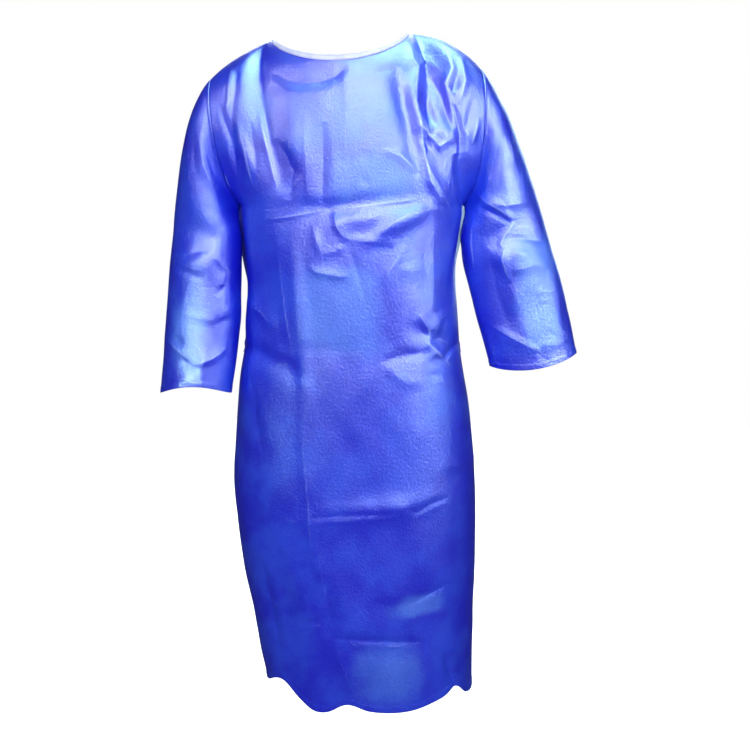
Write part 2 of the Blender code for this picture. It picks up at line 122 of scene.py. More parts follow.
# Back opening: the left panel lies over the right one
LAP_COLUMNS = 2
UNDERLAP_INSET = 5 * MM

# Sleeves. Columns: height, middle x, middle y, half width, half depth, rise to +X, arch
SLEEVE_LEFT = (
    (-340, -242.5, -4, 59.5, 62, 0.00, 0.00),
    (-413, -246, -14, 62, 60, 0.00, 0.08),
    (-472, -248.5, -24, 63, 58, 0.00, 0.15),
    (-530, -253, -34, 62, 56, 0.00, 0.22),
    (-594, -259.5, -44, 60, 54, 0.00, 0.28),
)
SLEEVE_RIGHT = (
    (-340, 263.5, 0, 76, 60, 0.00, 0.00),
    (-375, 270.5, -3, 79, 58, 0.02, 0.00),
    (-413, 281, -6, 79, 56, 0.06, -0.05),
    (-472, 296, -12, 77, 51, 0.12, -0.15),
    (-540, 312, -18, 74, 46, 0.16, -0.28),
)
CAP_SHARE = 0.50
CAP_TANGENT = 20 * MM
HEAD_TURN = 0.08
# Columns: how far out and down the sleeve's cap leaves the armhole
CAP_LEFT = (0.52, 0.48)
CAP_RIGHT = (0.45, 0.52)

# Largest folds, raised or sunk along the surface.
# Columns: x and z at one end, x and z at the other, width, height
FRONT_FOLDS = (
    (-127, -300, 120, -268, 16, -5),
    (-40, -306, 110, -290, 14, 4),
    (40, -332, 132, -284, 13, 6),
    (76, -75, 108, -200, 12, -5),
    (96, -80, 122, -205, 10, 4),
    (-128, -175, -106, -262, 17, -5),
    (-88, -120, -90, -220, 15, 5),
    (112, -155, 172, -166, 13, 5),
    (-60, -795, 160, -765, 20, 5),
    (-92, -330, -66, -620, 13, 4),
    (100, -480, 178, -512, 12, -4),
    (-165, -520, -60, -560, 16, -4),
    (0, -900, 12, -1080, 30, 5),
    (-110, -850, -95, -1090, 26, -5),
    (110, -880, 128, -1095, 26, -5),
)
BACK_FOLDS = (
    (-150, -290, -40, -250, 17, -5),
    (40, -250, 150, -285, 17, -5),
    (-130, -600, -110, -1060, 28, 6),
    (90, -590, 110, -1050, 28, 6),
    (-60, -540, -75, -900, 24, -5),
    (120, -400, 60, -500, 20, 5),
    (-120, -390, -60, -495, 20, 5),
)
# Columns: share around from the outer edge over the front, share along, both again at the far
# end, width as a share around, height
SLEEVE_FOLDS = (
    (0.10, 0.42, 0.34, 0.50, 0.06, -5),
    (0.08, 0.60, 0.36, 0.55, 0.05, 4),
    (0.16, 0.72, 0.38, 0.86, 0.06, -4),
    (0.62, 0.45, 0.88, 0.52, 0.06, -5),
    (0.64, 0.74, 0.86, 0.66, 0.06, 4),
)

# Shares over which folds die out at a panel's sides, at its top and at a sleeve's head
FADE_SIDE = 0.06
FADE_TOP = 0.05
FADE_SLEEVE_HEAD = 0.12
FOLD_END = 0.08

# Creases. Columns: height, width to the right of or above the line, width on its other side,
# line as x and z
FRONT_CREASES = (
    (-6.5, 24, 10, ((-126, -64), (-104, -77), (-76, -82), (-46, -81), (-22, -73), (-2, -58))),
    (3.0, 30, 9, ((-119, -309), (-109, -405), (-101, -471), (-91, -523), (-80, -549), (-79, -580))),
    (2.6, 26, 8, ((-79, -580), (-74, -688), (-66, -784), (-63, -847), (-51, -885))),
    (2.0, 22, 8, ((-54, -835), (-40, -913), (-42, -955))),
    (2.2, 14, 6, ((139, -280), (136, -353), (138, -435), (140, -509))),
    (-1.4, 5, 5, ((39, -68), (68, -60), (86, -58))),
    (-1.0, 4, 4, ((-173, -98), (-104, -88), (-30, -80))),
    (-0.8, 4, 4, ((-103, -513), (-31, -512), (34, -514))),
    (1.6, 9, 9, ((-125, -515), (-110, -521), (-93, -528))),
    (5.5, 14, 9, ((96, 3), (105, -43), (113, -55), (109, -90), (108, -112), (112, -126),
                  (116, -153), (120, -183), (132, -240), (157, -288))),
    (-4.0, 8, 14, ((75, -55), (90, -103), (104, -159))),
    (3.0, 12, 5, ((-143, -304), (-95, -298), (-32, -287))),
    (2.8, 7, 5, ((-32, -287), (-3, -285), (59, -277), (122, -269))),
    (2.4, 10, 4, ((-24, -290), (-19, -315), (-3, -339))),
    (2.2, 5, 5, ((-7, -330), (2, -335), (68, -340), (80, -336))),
    (2.8, 8, 18, ((41, -333), (72, -309), (99, -293), (135, -281))),
    (2.2, 5, 5, ((-58, -311), (-45, -363))),
    (1.8, 4, 4, ((-41, -360), (-6, -347))),
    (2.8, 6, 5, ((-66, -378), (-54, -387), (-17, -394), (2, -394))),
    (2.2, 6, 5, ((93, -343), (78, -367), (64, -389), (54, -412))),
    (1.8, 7, 12, ((76, -386), (99, -385), (124, -382))),
    (-1.2, 4, 4, ((-1, -343), (13, -384), (28, -436))),
    (-4.5, 9, 9, ((-41, -147), (-41, -216), (-43, -278))),
    (3.0, 9, 9, ((-70, -131), (-69, -208), (-64, -278))),
    (3.0, 12, 14, ((-6, -64), (-4, -144), (-7, -208))),
    (-1.2, 9, 9, ((20, -192), (36, -216))),
    (-1.2, 5, 5, ((20, -234), (33, -250))),
    (3.0, 6, 9, ((55, -192), (83, -200), (111, -227))),
    (-5.5, 7, 18, ((-123, -172), (-101, -200), (-90, -227), (-97, -272))),
    (3.2, 5, 5, ((-147, -129), (-132, -191), (-117, -252))),
    (3.6, 6, 6, ((-183, -143), (-167, -203), (-155, -257))),
    (-3.0, 5, 5, ((-161, -144), (-150, -223))),
    (-2.2, 4, 4, ((-137, -129), (-127, -191))),
    (-4.6, 5, 5, ((-183, -57), (-193, -142), (-187, -200), (-184, -248))),
    (3.4, 4, 4, ((-194, -54), (-200, -132))),
    (-2.2, 3.5, 3.5, ((-202, -85), (-203, -118))),
    (-4.4, 5, 4, ((-213, -115), (-195, -172), (-183, -234))),
    (2.4, 4, 4, ((-223, -215), (-205, -232), (-195, -258))),
    (4.5, 6, 6, ((160, -29), (169, -57), (158, -83), (166, -116), (176, -158))),
    (-9.0, 12, 9, ((132, -70), (149, -101), (160, -134), (170, -158))),
    (-4.0, 5, 5, ((178, -67), (167, -98))),
    (3.5, 5, 5, ((183, -35), (190, -76), (180, -116))),
    (-5.0, 4, 4, ((171, -116), (182, -164), (183, -203))),
    (-3.6, 4, 4, ((203, -107), (191, -161))),
    (3.4, 4, 4, ((213, -138), (200, -183))),
    (4.6, 6, 9, ((114, -130), (130, -167), (148, -184), (176, -165))),
    (-3.5, 4, 4, ((114, -154), (130, -194))),
    (-2.4, 4, 4, ((116, -100), (139, -149))),
    (2.6, 9, 9, ((120, -33), (149, -63))),
    (3.4, 9, 14, ((119, -196), (132, -227), (161, -278), (179, -314))),
    (-8.0, 22, 8, ((176, -196), (186, -240), (193, -292))),
    (2.2, 5, 5, ((168, -455), (148, -468), (138, -499))),
    (2.0, 4, 5, ((140, -498), (168, -509))),
    (3.0, 5, 5, ((113, -455), (131, -484), (130, -506), (142, -519), (159, -534))),
    (-3.0, 4, 4, ((181, -508), (166, -525), (157, -535))),
    (-2.6, 6, 10, ((51, -534), (91, -523), (133, -522))),
    (1.8, 10, 8, ((56, -540), (83, -564), (125, -574))),
    (2.2, 3, 4, ((131, -532), (143, -521), (155, -533))),
    (2.2, 3, 3, ((171, -525), (160, -537), (169, -548))),
    (1.5, 3, 3, ((125, -552), (147, -547), (166, -557))),
    (1.4, 3, 3, ((135, -573), (152, -566), (162, -582))),
    (-3.0, 9, 9, ((-182, -516), (-145, -522), (-122, -537))),
    (3.0, 10, 8, ((-176, -439), (-144, -455), (-120, -484))),
    (-2.6, 6, 10, ((-166, -557), (-155, -635), (-143, -691))),
    (1.4, 4, 4, ((-113, -799), (-76, -798))),
    (-3.0, 7, 16, ((-68, -792), (-15, -787), (33, -785), (88, -783))),
    (1.4, 3, 6, ((-66, -798), (-15, -793), (33, -791), (88, -789))),
    (-3.4, 7, 14, ((94, -775), (112, -784), (137, -771), (167, -762))),
    (1.6, 3, 6, ((95, -781), (112, -790), (137, -777), (167, -768))),
    (1.4, 4, 4, ((155, -716), (174, -712), (212, -707))),
    (-3.2, 7, 26, ((98, -938), (137, -921), (168, -907))),
    (1.3, 3, 5, ((104, -942), (139, -927), (169, -913))),
    (-1.8, 8, 18, ((38, -930), (71, -938), (100, -930))),
    (-2.8, 7, 16, ((-84, -972), (-35, -963))),
    (1.1, 3, 5, ((-84, -977), (-35, -968))),
    (-3.4, 6, 30, ((-30, -990), (1, -992), (131, -1003))),
    (1.5, 3, 6, ((-28, -996), (1, -998), (131, -1009))),
    (2.2, 22, 9, ((-28, -997), (-7, -1046), (13, -1102))),
    (1.8, 10, 22, ((134, -1010), (124, -1066), (111, -1111))),
    (-5.0, 4, 6, ((158, -1024), (169, -1061), (180, -1092))),
    (-4.0, 8, 12, ((-147, -871), (-131, -956), (-116, -1033))),
    (2.4, 20, 14, ((-110, -831), (-95, -898), (-73, -950))),
    (-3.0, 12, 12, ((-40, -893), (-32, -960), (-37, -994))),
)
SLEEVE_LEFT_CREASES = (
    (2.6, 8, 5, ((-304, -504), (-284, -519), (-263, -536), (-253, -546))),
    (3.6, 6, 6, ((-255, -544), (-228, -532), (-205, -518))),
    (-2.6, 7, 7, ((-294, -496), (-274, -513))),
    (-2.0, 4, 4, ((-279, -530), (-260, -541))),
    (2.2, 14, 8, ((-228, -476), (-209, -462), (-188, -452))),
    (-2.6, 10, 8, ((-225, -478), (-204, -467), (-191, -465))),
    (-2.0, 5, 5, ((-294, -379), (-264, -393), (-239, -401))),
    (1.8, 5, 5, ((-224, -369), (-206, -384), (-190, -400))),
    (-2.2, 6, 6, ((-226, -370), (-203, -397))),
    (-2.4, 5, 5, ((-221, -430), (-207, -412))),
    (1.6, 4, 5, ((-297, -569), (-272, -566), (-239, -579))),
    (3.0, 9, 9, ((-239, -515), (-245, -551), (-242, -581))),
    (-3.5, 5, 6, ((-239, -88), (-230, -176), (-224, -210), (-203, -268))),
    (3.0, 6, 8, ((-248, -157), (-241, -214), (-225, -255))),
    (-2.5, 8, 8, ((-264, -156), (-253, -222))),
    (1.6, 8, 8, ((-264, -214), (-260, -296))),
    (-2.4, 6, 6, ((-277, -367), (-247, -354), (-225, -357))),
    (1.8, 10, 14, ((-239, -291), (-225, -337), (-212, -374))),
    (1.8, 6, 5, ((-285, -457), (-248, -466), (-223, -473))),
)
SLEEVE_RIGHT_CREASES = (
    (3.2, 8, 5, ((212, -259), (229, -275), (251, -289), (274, -306))),
    (-2.6, 4, 5, ((215, -283), (252, -298), (268, -308))),
    (3.4, 5, 5, ((274, -308), (257, -332), (249, -349))),
    (2.6, 12, 5, ((229, -273), (260, -280), (306, -273))),
    (3.0, 6, 8, ((250, -341), (257, -352), (254, -370), (260, -390), (269, -409))),
    (2.4, 20, 14, ((269, -409), (281, -445), (292, -487), (305, -512))),
    (-4.5, 16, 18, ((231, -354), (245, -421), (265, -479))),
    (-2.4, 4, 3, ((265, -335), (299, -336), (337, -341))),
    (2.2, 5, 9, ((262, -388), (290, -384), (314, -376))),
    (2.6, 5, 10, ((230, -475), (269, -498), (310, -520), (334, -537))),
    (-2.0, 5, 5, ((312, -522), (334, -541))),
    (3.0, 7, 8, ((205, -301), (205, -346), (211, -398))),
    (-3.0, 5, 5, ((250, -165), (242, -203), (232, -238))),
    (-3.0, 7, 7, ((234, -104), (240, -154))),
    (2.6, 7, 7, ((263, -164), (273, -214))),
    (-3.6, 4, 4, ((223, -81), (229, -162), (211, -248))),
    (1.6, 4, 5, ((310, -422), (336, -423), (355, -417))),
    (1.4, 4, 4, ((315, -441), (339, -433))),
    (1.4, 4, 4, ((318, -512), (353, -501))),
    (1.6, 6, 6, ((302, -517), (334, -514), (366, -506))),
    (-1.8, 6, 6, ((348, -375), (329, -391), (320, -416))),
    (-2.4, 8, 8, ((360, -439), (365, -489))),
    (1.6, 5, 6, ((268, -357), (300, -362))),
)
# Creases of the sides that the photograph hides, in the same columns
BACK_CREASES = (
    (2.6, 22, 8, ((-92, -250), (-98, -420), (-94, -600), (-90, -820), (-84, -1080))),
    (2.2, 8, 20, ((118, -255), (126, -430), (122, -640), (118, -860), (112, -1085))),
    (2.4, 6, 14, ((-150, -298), (-80, -303), (0, -296), (90, -292), (150, -300))),
    (2.6, 6, 18, ((-170, -806), (-60, -800), (30, -808), (150, -800))),
    (2.0, 6, 16, ((-120, -1004), (-30, -1000), (60, -1006))),
    (-4.5, 8, 9, ((-196, -120), (-176, -190), (-165, -262))),
    (3.4, 7, 7, ((-178, -118), (-152, -190), (-140, -250))),
    (-3.2, 7, 7, ((-150, -120), (-136, -176))),
    (-4.6, 9, 8, ((180, -96), (168, -170), (166, -250))),
    (3.4, 7, 7, ((160, -90), (142, -168), (136, -232))),
    (-3.0, 7, 7, ((134, -100), (120, -160))),
    (3.2, 9, 14, ((-60, -70), (-40, -140), (-36, -210))),
    (-3.2, 12, 9, ((44, -80), (30, -160), (34, -240))),
    (3.6, 8, 12, ((-165, -360), (-110, -420), (-60, -495))),
    (-3.4, 10, 10, ((-172, -420), (-120, -462), (-70, -500))),
    (3.4, 8, 12, ((170, -372), (112, -436), (60, -498))),
    (-3.2, 10, 10, ((176, -440), (128, -470), (80, -502))),
    (3.6, 9, 10, ((-40, -540), (-58, -640), (-62, -760))),
    (-3.6, 10, 10, ((-16, -545), (-24, -650), (-30, -740))),
    (3.4, 9, 10, ((38, -538), (54, -630), (66, -730))),
    (-3.2, 10, 9, ((62, -540), (88, -640), (96, -720))),
    (3.0, 7, 7, ((-90, -538), (-120, -610), (-134, -700))),
    (-3.0, 9, 9, ((-120, -536), (-158, -600), (-168, -690))),
    (3.0, 7, 7, ((100, -536), (136, -600), (152, -690))),
    (2.6, 5, 5, ((-70, -330), (-20, -338), (36, -328))),
    (2.4, 5, 7, ((20, -380), (60, -372), (100, -384))),
    (2.0, 5, 5, ((-40, -880), (10, -892), (52, -884))),
    (3.0, 16, 16, ((-30, -860), (-36, -960), (-50, -1095))),
    (-3.0, 16, 16, ((30, -840), (38, -960), (48, -1098))),
    (2.0, 5, 5, ((-140, -905), (-104, -912), (-70, -902))),
    (2.2, 5, 5, ((84, -934), (120, -928), (158, -938))),
)
SLEEVE_LEFT_BACK_CREASES = (
    (-3.0, 8, 8, ((-262, -150), (-256, -240))),
    (3.2, 7, 10, ((-290, -330), (-256, -352), (-214, -350))),
    (-3.0, 6, 8, ((-292, -372), (-250, -388), (-206, -380))),
    (2.6, 6, 6, ((-286, -440), (-250, -452), (-218, -446))),
    (2.6, 8, 8, ((-262, -470), (-256, -530), (-262, -580))),
    (2.2, 5, 5, ((-296, -500), (-270, -512), (-246, -506))),
)
SLEEVE_RIGHT_BACK_CREASES = (
    (-3.0, 8, 8, ((240, -130), (248, -230))),
    (3.4, 7, 10, ((214, -300), (258, -322), (300, -316))),
    (-3.0, 6, 8, ((216, -346), (262, -364), (318, -352))),
    (2.6, 6, 6, ((236, -420), (282, -434), (330, -424))),
    (2.8, 8, 8, ((290, -440), (304, -490), (322, -530))),
    (2.2, 5, 5, ((262, -480), (300, -494), (344, -486))),
)
# A crease's flat sides run from its line to a foot, given as a share of the table's width and a least
# distance, and die out towards its ends. Its top and its foot are rounded.
CREASE_FOOT = (1.35, 4.0)
CREASE_SHARE = 0.8
CREASE_NARROW_END = 0.45
CREASE_ROUND_TOP = 1.0
CREASE_ROUND_FOOT = 0.20
CREASE_TAPER = 0.75
# Reach in millimetres of the pale line along a raised crease, which is partly whitened film and partly a
# painted highlight
PALE_REACH = 1.9

# Where the grid is made finer: closeness to a crease weighed by how steep it is
FINE_REACH = 8.0
FINE_LEVELS = (0.08, 0.21)
FINE_EDGE = 0.012

# Distances from a panel's sides and top over which its creases die out, as shares
CREASE_FADE_SIDE = 0.02
CREASE_FADE_TOP = 0.02
CREASE_FADE_SLEEVE = 0.02
CREASE_FADE_FACING = 0.10

# Places where the film is hazier and rougher, and where a painted sheen lightens its colour. Columns: x, z,
# half width, half height, how hazy
FRONT_HAZE_AND_SHEEN = (
    (62, -1052, 62, 56, 0.8), (122, -938, 40, 20, 0.75), (84, -946, 36, 14, 0.4),
    (-14, -449, 74, 74, 0.9), (148, -580, 30, 100, 0.5), (152, -400, 30, 90, 0.3),
    (-121, -679, 34, 110, 0.35), (-106, -913, 30, 60, 0.25), (42, -240, 80, 42, 0.8),
    (-5, -145, 110, 60, 0.6), (-157, -130, 36, 50, 0.6), (40, -560, 60, 60, 0.25),
)
SLEEVE_LEFT_HAZE_AND_SHEEN = ((-268, -500, 30, 58, 0.6), (-250, -300, 90, 290, 0.2))
SLEEVE_RIGHT_HAZE_AND_SHEEN = ((312, -410, 32, 75, 0.7), (326, -488, 28, 34, 0.7), (270, -300, 110, 290, 0.3))

# Gentle unevenness of the film all over. Columns: height, wave length along x, y, z, phase
RIPPLES = (
    (0.55, 0.131, 0.170, 0.210, 0.4), (0.40, 0.083, 0.110, 0.152, 1.9), (0.22, 0.057, 0.090, 0.117, 3.3),
    (0.09, 0.041, 0.060, 0.071, 5.1), (0.05, 0.029, 0.040, 0.047, 0.9),
)
RIPPLE_SWAY = 1.7

# Cloth, turned hems and seams
CLOTH = 0.6 * MM
HEM_TURN = 10 * MM
HEM_PROUD = 0.5 * MM
HEM_GROOVE = 0.3 * MM
HEM_GROOVE_WIDTH = 1.2 * MM
HEM_SOFT = 1.5 * MM
SEAM_DIP = 0.8 * MM
SEAM_DIP_WIDTH = 1.6 * MM
HEM_ROWS = np.array([0, 1.5, 3.5, 6, 8, 9.2, 10.4, 11.6, 14, 18]) * MM
SIDE_COLUMNS = np.array([0, 0.0015, 0.003, 0.0055, 0.009, 0.014])
FRONT_COLUMNS = 88
BODY_ROWS = (42, 62)
ROW_CHANGE = 0.42
YOKE_ROWS = 48
SLEEVE_COLUMNS = 90
SLEEVE_ROWS = 90
SLEEVE_HEAD_ROWS = np.linspace(0, 0.02, 5)
SLEEVE_CUFF_ROWS = np.linspace(0.96, 1, 14)
LAP_MARGIN = 0.002

# Metres across and along each piece, for its UV map
PANEL_SIZE = (0.6, 1.115)
SLEEVE_LEFT_SIZE = (0.4, 0.5)
SLEEVE_RIGHT_SIZE = (0.45, 0.45)
PAD_SIZE = (0.05, 0.02)

# Binding of the neck edge
TAPE = 0.6 * MM
TAPE_CLEAR = 0.35 * MM
TAPE_OUTER_LEG = 7.6 * MM
TAPE_INNER_LEG = 5.5 * MM
TAPE_TURN = 5
TAPE_STITCH = 1.8 * MM
TAPE_FLATNESS = 0.8
TAPE_LEG_POINTS = 4
NECK_POINTS = 60
NECK_STEP = 0.012
SMOOTH_TOP = 1
SMOOTH_DIRECTIONS = 6
# Columns: height of the puckers, turns along the tape for each station of two waves
TAPE_PUCKER = (0.25 * MM, 0.9, 0.23)

# Waist ties, their knot and ends
TIE_Z = -518 * MM
TIE_WIDTH = 24 * MM
TIE_WALL = 1.0 * MM
TIE_CLEAR = 0.4 * MM
TIE_SHARE = 12 / 26
TIE_CLOTH = 0.5 * MM
TAIL_DROP = 4 * MM
KNOT_HEIGHT = 22 * MM
TAIL_CLEAR = 0.6 * MM
TAIL_LEFT = (0.460, 0.435, 0.16)
TAIL_RIGHT = (0.538, 0.565, 0.19)
TAIL_SIZE = (TIE_WIDTH, 0.2)
TIE_GRID = (90, 15)
TIE_CURL = 0.6 * MM
TAIL_CURL = 0.8 * MM
# How much a tie's curls feed the pale lines: partly whitened film, partly a painted highlight
CURL_PALE_AND_HIGHLIGHT = 0.05

# Touch fastener between the back panels
FASTENER_CLEAR = 0.4 * MM
FASTENER_ACROSS = (12 / 26, 14 / 26)
FASTENER_ALONG = (0.753, 0.987)

# Stitches
STITCH_PITCH = 4.2 * MM
STITCH_POINTS = 240
STITCH_SIDES = 6
STITCH_END = 0.008
STITCH_SIZE = (2.9 * MM, 0.55 * MM, 0.45 * MM)

# Camera, lights and floor, in metres
CAMERA_PLACE = (0.0425, -2.4, -0.2975)
CAMERA_TILT = math.radians(90 - 6.165)
CAMERA_LENS = 67.37
FLOOR_Z = -1.22

# Turns of the knot. Columns: tilt in degrees, phase of the creases, reach, width, depth, how far out
KNOT_TURNS = ((8, 0.4, 30, 17, 7, 0), (-52, 1.7, 26, 12, 6, 3.5), (64, 3.1, 22, 11, 5, 6))
KNOT_GRID = (40, 24)

# Colours, linear
FILM_DEEP = (0.002, 0.004, 0.620)
FILM_LIGHT = (0.009, 0.044, 0.740)
# Colour of the painted sheen that the hazy places take
FILM_PAINTED_SHEEN = (0.045, 0.260, 0.920)
# Pale of the lines along raised creases: partly whitened film, partly a painted highlight
FILM_PALE_AND_HIGHLIGHT = (0.260, 0.340, 0.960)
TAPE_LIGHT = (0.620, 0.630, 0.860)
TAPE_SHADE = (0.480, 0.490, 0.740)
THREAD_SHADE = 0.7

# Noise in the film, the tape and the thread. Columns: scale, detail, roughness
FILM_CLOUD = (12.0, 4.0, 0.6)
FILM_DRIFT = (22.0, 3.0, 0.55)
FILM_MOTTLE = (240.0, 3.0, 0.65)
FINE_GRAIN = (900.0, 2.0, 0.6)
TAPE_PATCH = (60.0, 2.0, 0.5)
THREAD_TWIST = (1500.0, 1.0, 0.5)

# Values between which the film turns light, hazy with a painted sheen, and pale along raised creases
# (partly whitened film, partly a painted highlight), and how much it then takes the new colour
LIGHT_WINDOW = (0.36, 0.66)
HAZE_AND_SHEEN_WINDOW = (0.15, 1.0)
PAINTED_SHEEN_SHARE = 0.36
PALE_AND_HIGHLIGHT_WINDOW = (0.06, 0.26)
PALE_AND_HIGHLIGHT_SHARE = 0.60
PATCH_WINDOW = (0.3, 0.7)

# Gloss of the film, and strength and height in metres of the emboss
FILM_IOR = 1.75
FILM_SPECULAR = 0.9
FILM_TINT = (0.78, 0.92, 1.0, 1.0)
FILM_EMBOSS = (0.60, 0.0014)
TAPE_EMBOSS = (0.5, 0.0004)

# Light of the room on matt and in glossy surfaces, the floor's own glow, then lamps.
# Columns: name, place, target, size, power in watts, fan of its beam in degrees, colour,
# lights matt surfaces, shows in gloss
ROOM_LIGHT = 0.42
ROOM_SHINE = 0.03
FLOOR_GLOW = 0.85
FLOOR_RADIUS = 4.0
LAMPS = (
    ("key", (0.85, -1.9, 1.00), (0.08, -0.1, -0.12), (1.3, 1.0), 9.3, 60, (0.80, 0.85, 1.0), False, True),
    ("top", (0.30, -0.15, 1.15), (0.10, -0.03, -0.02), (1.0, 1.1), 54, 180, (0.55, 0.92, 1.0), False, True),
    ("chest", (-0.35, -2.2, 0.80), (-0.05, -0.1, -0.15), (0.8, 0.7), 2.4, 44, (0.96, 0.92, 1.0),
     False, True),
    ("side", (1.15, -0.9, -0.10), (0.30, 0, -0.40), (0.3, 0.6), 1.9, 44, (0.80, 0.90, 1.0), False, True),
    ("cuff", (-0.90, -1.9, -0.15), (-0.28, -0.06, -0.56), (0.2, 0.2), 0.4, 14, (0.60, 0.85, 1.0),
     False, True),
    ("yoke", (-1.90, -1.1, 0.55), (-0.15, -0.12, -0.07), (0.22, 0.22), 0.11, 11, (1.0, 0.88, 1.0),
     False, True),
    ("rim", (0.75, 1.25, -0.05), (0.33, 0, -0.30), (0.5, 0.8), 6, 180, (0.62, 0.90, 1.0), False, True),
    ("front", (0.15, -2.2, 0.6), (0.02, 0, -0.55), (1.4, 1.0), 50, 180, (0.90, 0.95, 1.0), True, False),
    ("back", (0.2, 2.4, 1.1), (0, 0, -0.4), (1.8, 1.4), 80, 180, (0.85, 0.95, 1.0), True, True),
)

# Columns across a panel's solid, by which its laps and shoulders are counted
COLUMNS = 26
WELD = 0.01 * MM


def read_curve(keys, values, at):
    """Smooth curve through a table's rows, with a slope at each row from its neighbours."""
    order = np.argsort(keys)
    keys = np.asarray(keys, float)[order]
    values = np.asarray(values, float)[order]
    at = np.clip(at, keys[0], keys[-1])
    slopes = np.gradient(values, keys, axis=0)
    cell = np.clip(np.searchsorted(keys, at, side="right") - 1, 0, len(keys) - 2)
    span = keys[cell + 1] - keys[cell]
    t = (at - keys[cell]) / span
    shape = (-1,) + (1,) * (values.ndim - 1)
    t, span = t.reshape(shape), span.reshape(shape)
    start, end = values[cell], values[cell + 1]
    return hermite(start, end, slopes[cell] * span, slopes[cell + 1] * span, t)


def hermite(start, end, leaving, arriving, t):
    return (
        start * (2 * t**3 - 3 * t**2 + 1)
        + leaving * (t**3 - 2 * t**2 + t)
        + end * (3 * t**2 - 2 * t**3)
        + arriving * (t**3 - t**2)
    )


def ease(low, high, value):
    t = np.clip((value - low) / (high - low), 0.0, 1.0)
    return t * t * (3 - 2 * t)


def body_ring(side, u, z):
    """Point of the body's section: u runs from the left side to the right, over front or back."""
    table = np.array(BODY_SECTIONS) * MM
    left, right, front, back = read_curve(table[:, 0], table[:, 1:], z).T
    angle = np.pi * (1 - u)
    half = (right - left) / 2
    depth = np.abs(back if side > 0 else front)
    cosine, sine = np.cos(angle), np.sin(angle)
    reach = (np.abs(cosine / half) ** SQUARENESS + np.abs(sine / depth) ** SQUARENESS) ** (-1 / SQUARENESS)
    if side > 0:
        full = np.array(BACK_FULLNESS) * MM
        at_left, at_right = read_curve(full[:, 0], full[:, 1:], z).T
        from_seam = np.minimum(angle, np.pi - angle)
        swell = ease(0, FULLNESS_PEAK, from_seam) * (1 - ease(FULLNESS_PEAK, FULLNESS_END, from_seam))
        reach = reach + swell * np.where(u < 0.5, at_left, at_right)
    return np.stack([(left + right) / 2 + reach * cosine, side * reach * sine, z], -1)


def shoulder_point(table, t):
    """Point of a shoulder seam, t from the sleeve to the neck."""
    neck, middle, tip = (np.array(row) * MM for row in table)
    t = t[:, None]
    return tip * (1 - t) * (1 - 2 * t) + middle * 4 * t * (1 - t) + neck * t * (2 * t - 1)


def neck_point(side, t):
    """Point of the neck edge, t from the left shoulder seam to the right one."""
    left = np.array(SHOULDER_LEFT[0]) * MM
    right = np.array(SHOULDER_RIGHT[0]) * MM
    depth, drop = (NECK_DEPTH_BACK, NECK_DROP_BACK) if side > 0 else (NECK_DEPTH_FRONT, NECK_DROP_FRONT)
    across = 0.5 - 0.5 * np.cos(np.pi * t)
    point = left + (right - left) * across[:, None]
    point[:, 1] += side * depth * np.sin(np.pi * t)
    point[:, 2] -= drop * np.sin(np.pi * t) ** NECK_ROUNDNESS
    return point


def top_edge(side, u):
    share = SHOULDER_COLUMNS / COLUMNS
    on_left = shoulder_point(SHOULDER_LEFT, np.clip(u / share, 0, 1))
    on_right = shoulder_point(SHOULDER_RIGHT, np.clip((1 - u) / share, 0, 1))
    on_neck = neck_point(side, np.clip((u - share) / (1 - 2 * share), 0, 1))
    u = u[:, None]
    return np.where(u < share, on_left, np.where(u > 1 - share, on_right, on_neck))


def yoke(side, u, t):
    """Upper part of a panel, t from the chest section to the shoulder seams and the neck edge."""
    table = np.array(YOKE_BACK if side > 0 else YOKE_FRONT)
    pull = read_curve(table[:, 0], table[:, 1:] * MM, np.minimum(u, 1 - u))
    outward = np.where(u < 0.5, -1.0, 1.0)
    leaving = np.stack([outward * pull[:, 0], side * pull[:, 1], pull[:, 2]], -1)
    arriving = np.stack([-outward * pull[:, 3], -side * pull[:, 4], pull[:, 5]], -1)
    start = body_ring(side, u, np.full_like(u, CHEST_Z))
    return hermite(start, top_edge(side, u), leaving, arriving, t[:, None])


def panel(side, u, v):
    """Whole panel, v from the hem to its top edge."""
    hem = np.array(HEM_BACK if side > 0 else HEM_FRONT)
    z = HEM_Z + (CHEST_Z - HEM_Z) * np.clip(v / CHEST_SHARE, 0, 1)
    z += (read_curve(hem[:, 0], hem[:, 1] * MM, u) - HEM_Z) * (1 - ease(0, HEM_REACH, v))
    t = np.clip((v - CHEST_SHARE) / (1 - CHEST_SHARE), 0, 1)
    low = body_ring(side, u, z)
    return np.where(v[:, None] <= CHEST_SHARE, low, yoke(side, u, t))


def unit(vectors):
    return vectors / np.linalg.norm(vectors, axis=1, keepdims=True)


def normals(surface, u, v, closed=False):
    """Directions square to the surface; a closed one goes on past u of 0 and 1."""
    low, high = (u - STEP, u + STEP) if closed else (np.maximum(u - STEP, 0), np.minimum(u + STEP, 1))
    across = surface(high, v) - surface(low, v)
    along = surface(u, np.minimum(v + STEP, 1)) - surface(u, np.maximum(v - STEP, 0))
    return unit(np.cross(across, along))


def fold_height(table, first, second):
    """Sum of the folds at points given in the table's two coordinates."""
    total = np.zeros_like(first)
    for a0, b0, a1, b1, width, height in table:
        run = np.array([a1 - a0, b1 - b0])
        t = np.clip(((first - a0) * run[0] + (second - b0) * run[1]) / (run @ run), 0, 1)
        away = np.hypot(first - a0 - t * run[0], second - b0 - t * run[1])
        swell = np.sin(np.pi * (FOLD_END + (1 - 2 * FOLD_END) * t))
        total += height * np.exp(-((away / width) ** 2)) * swell
    return total


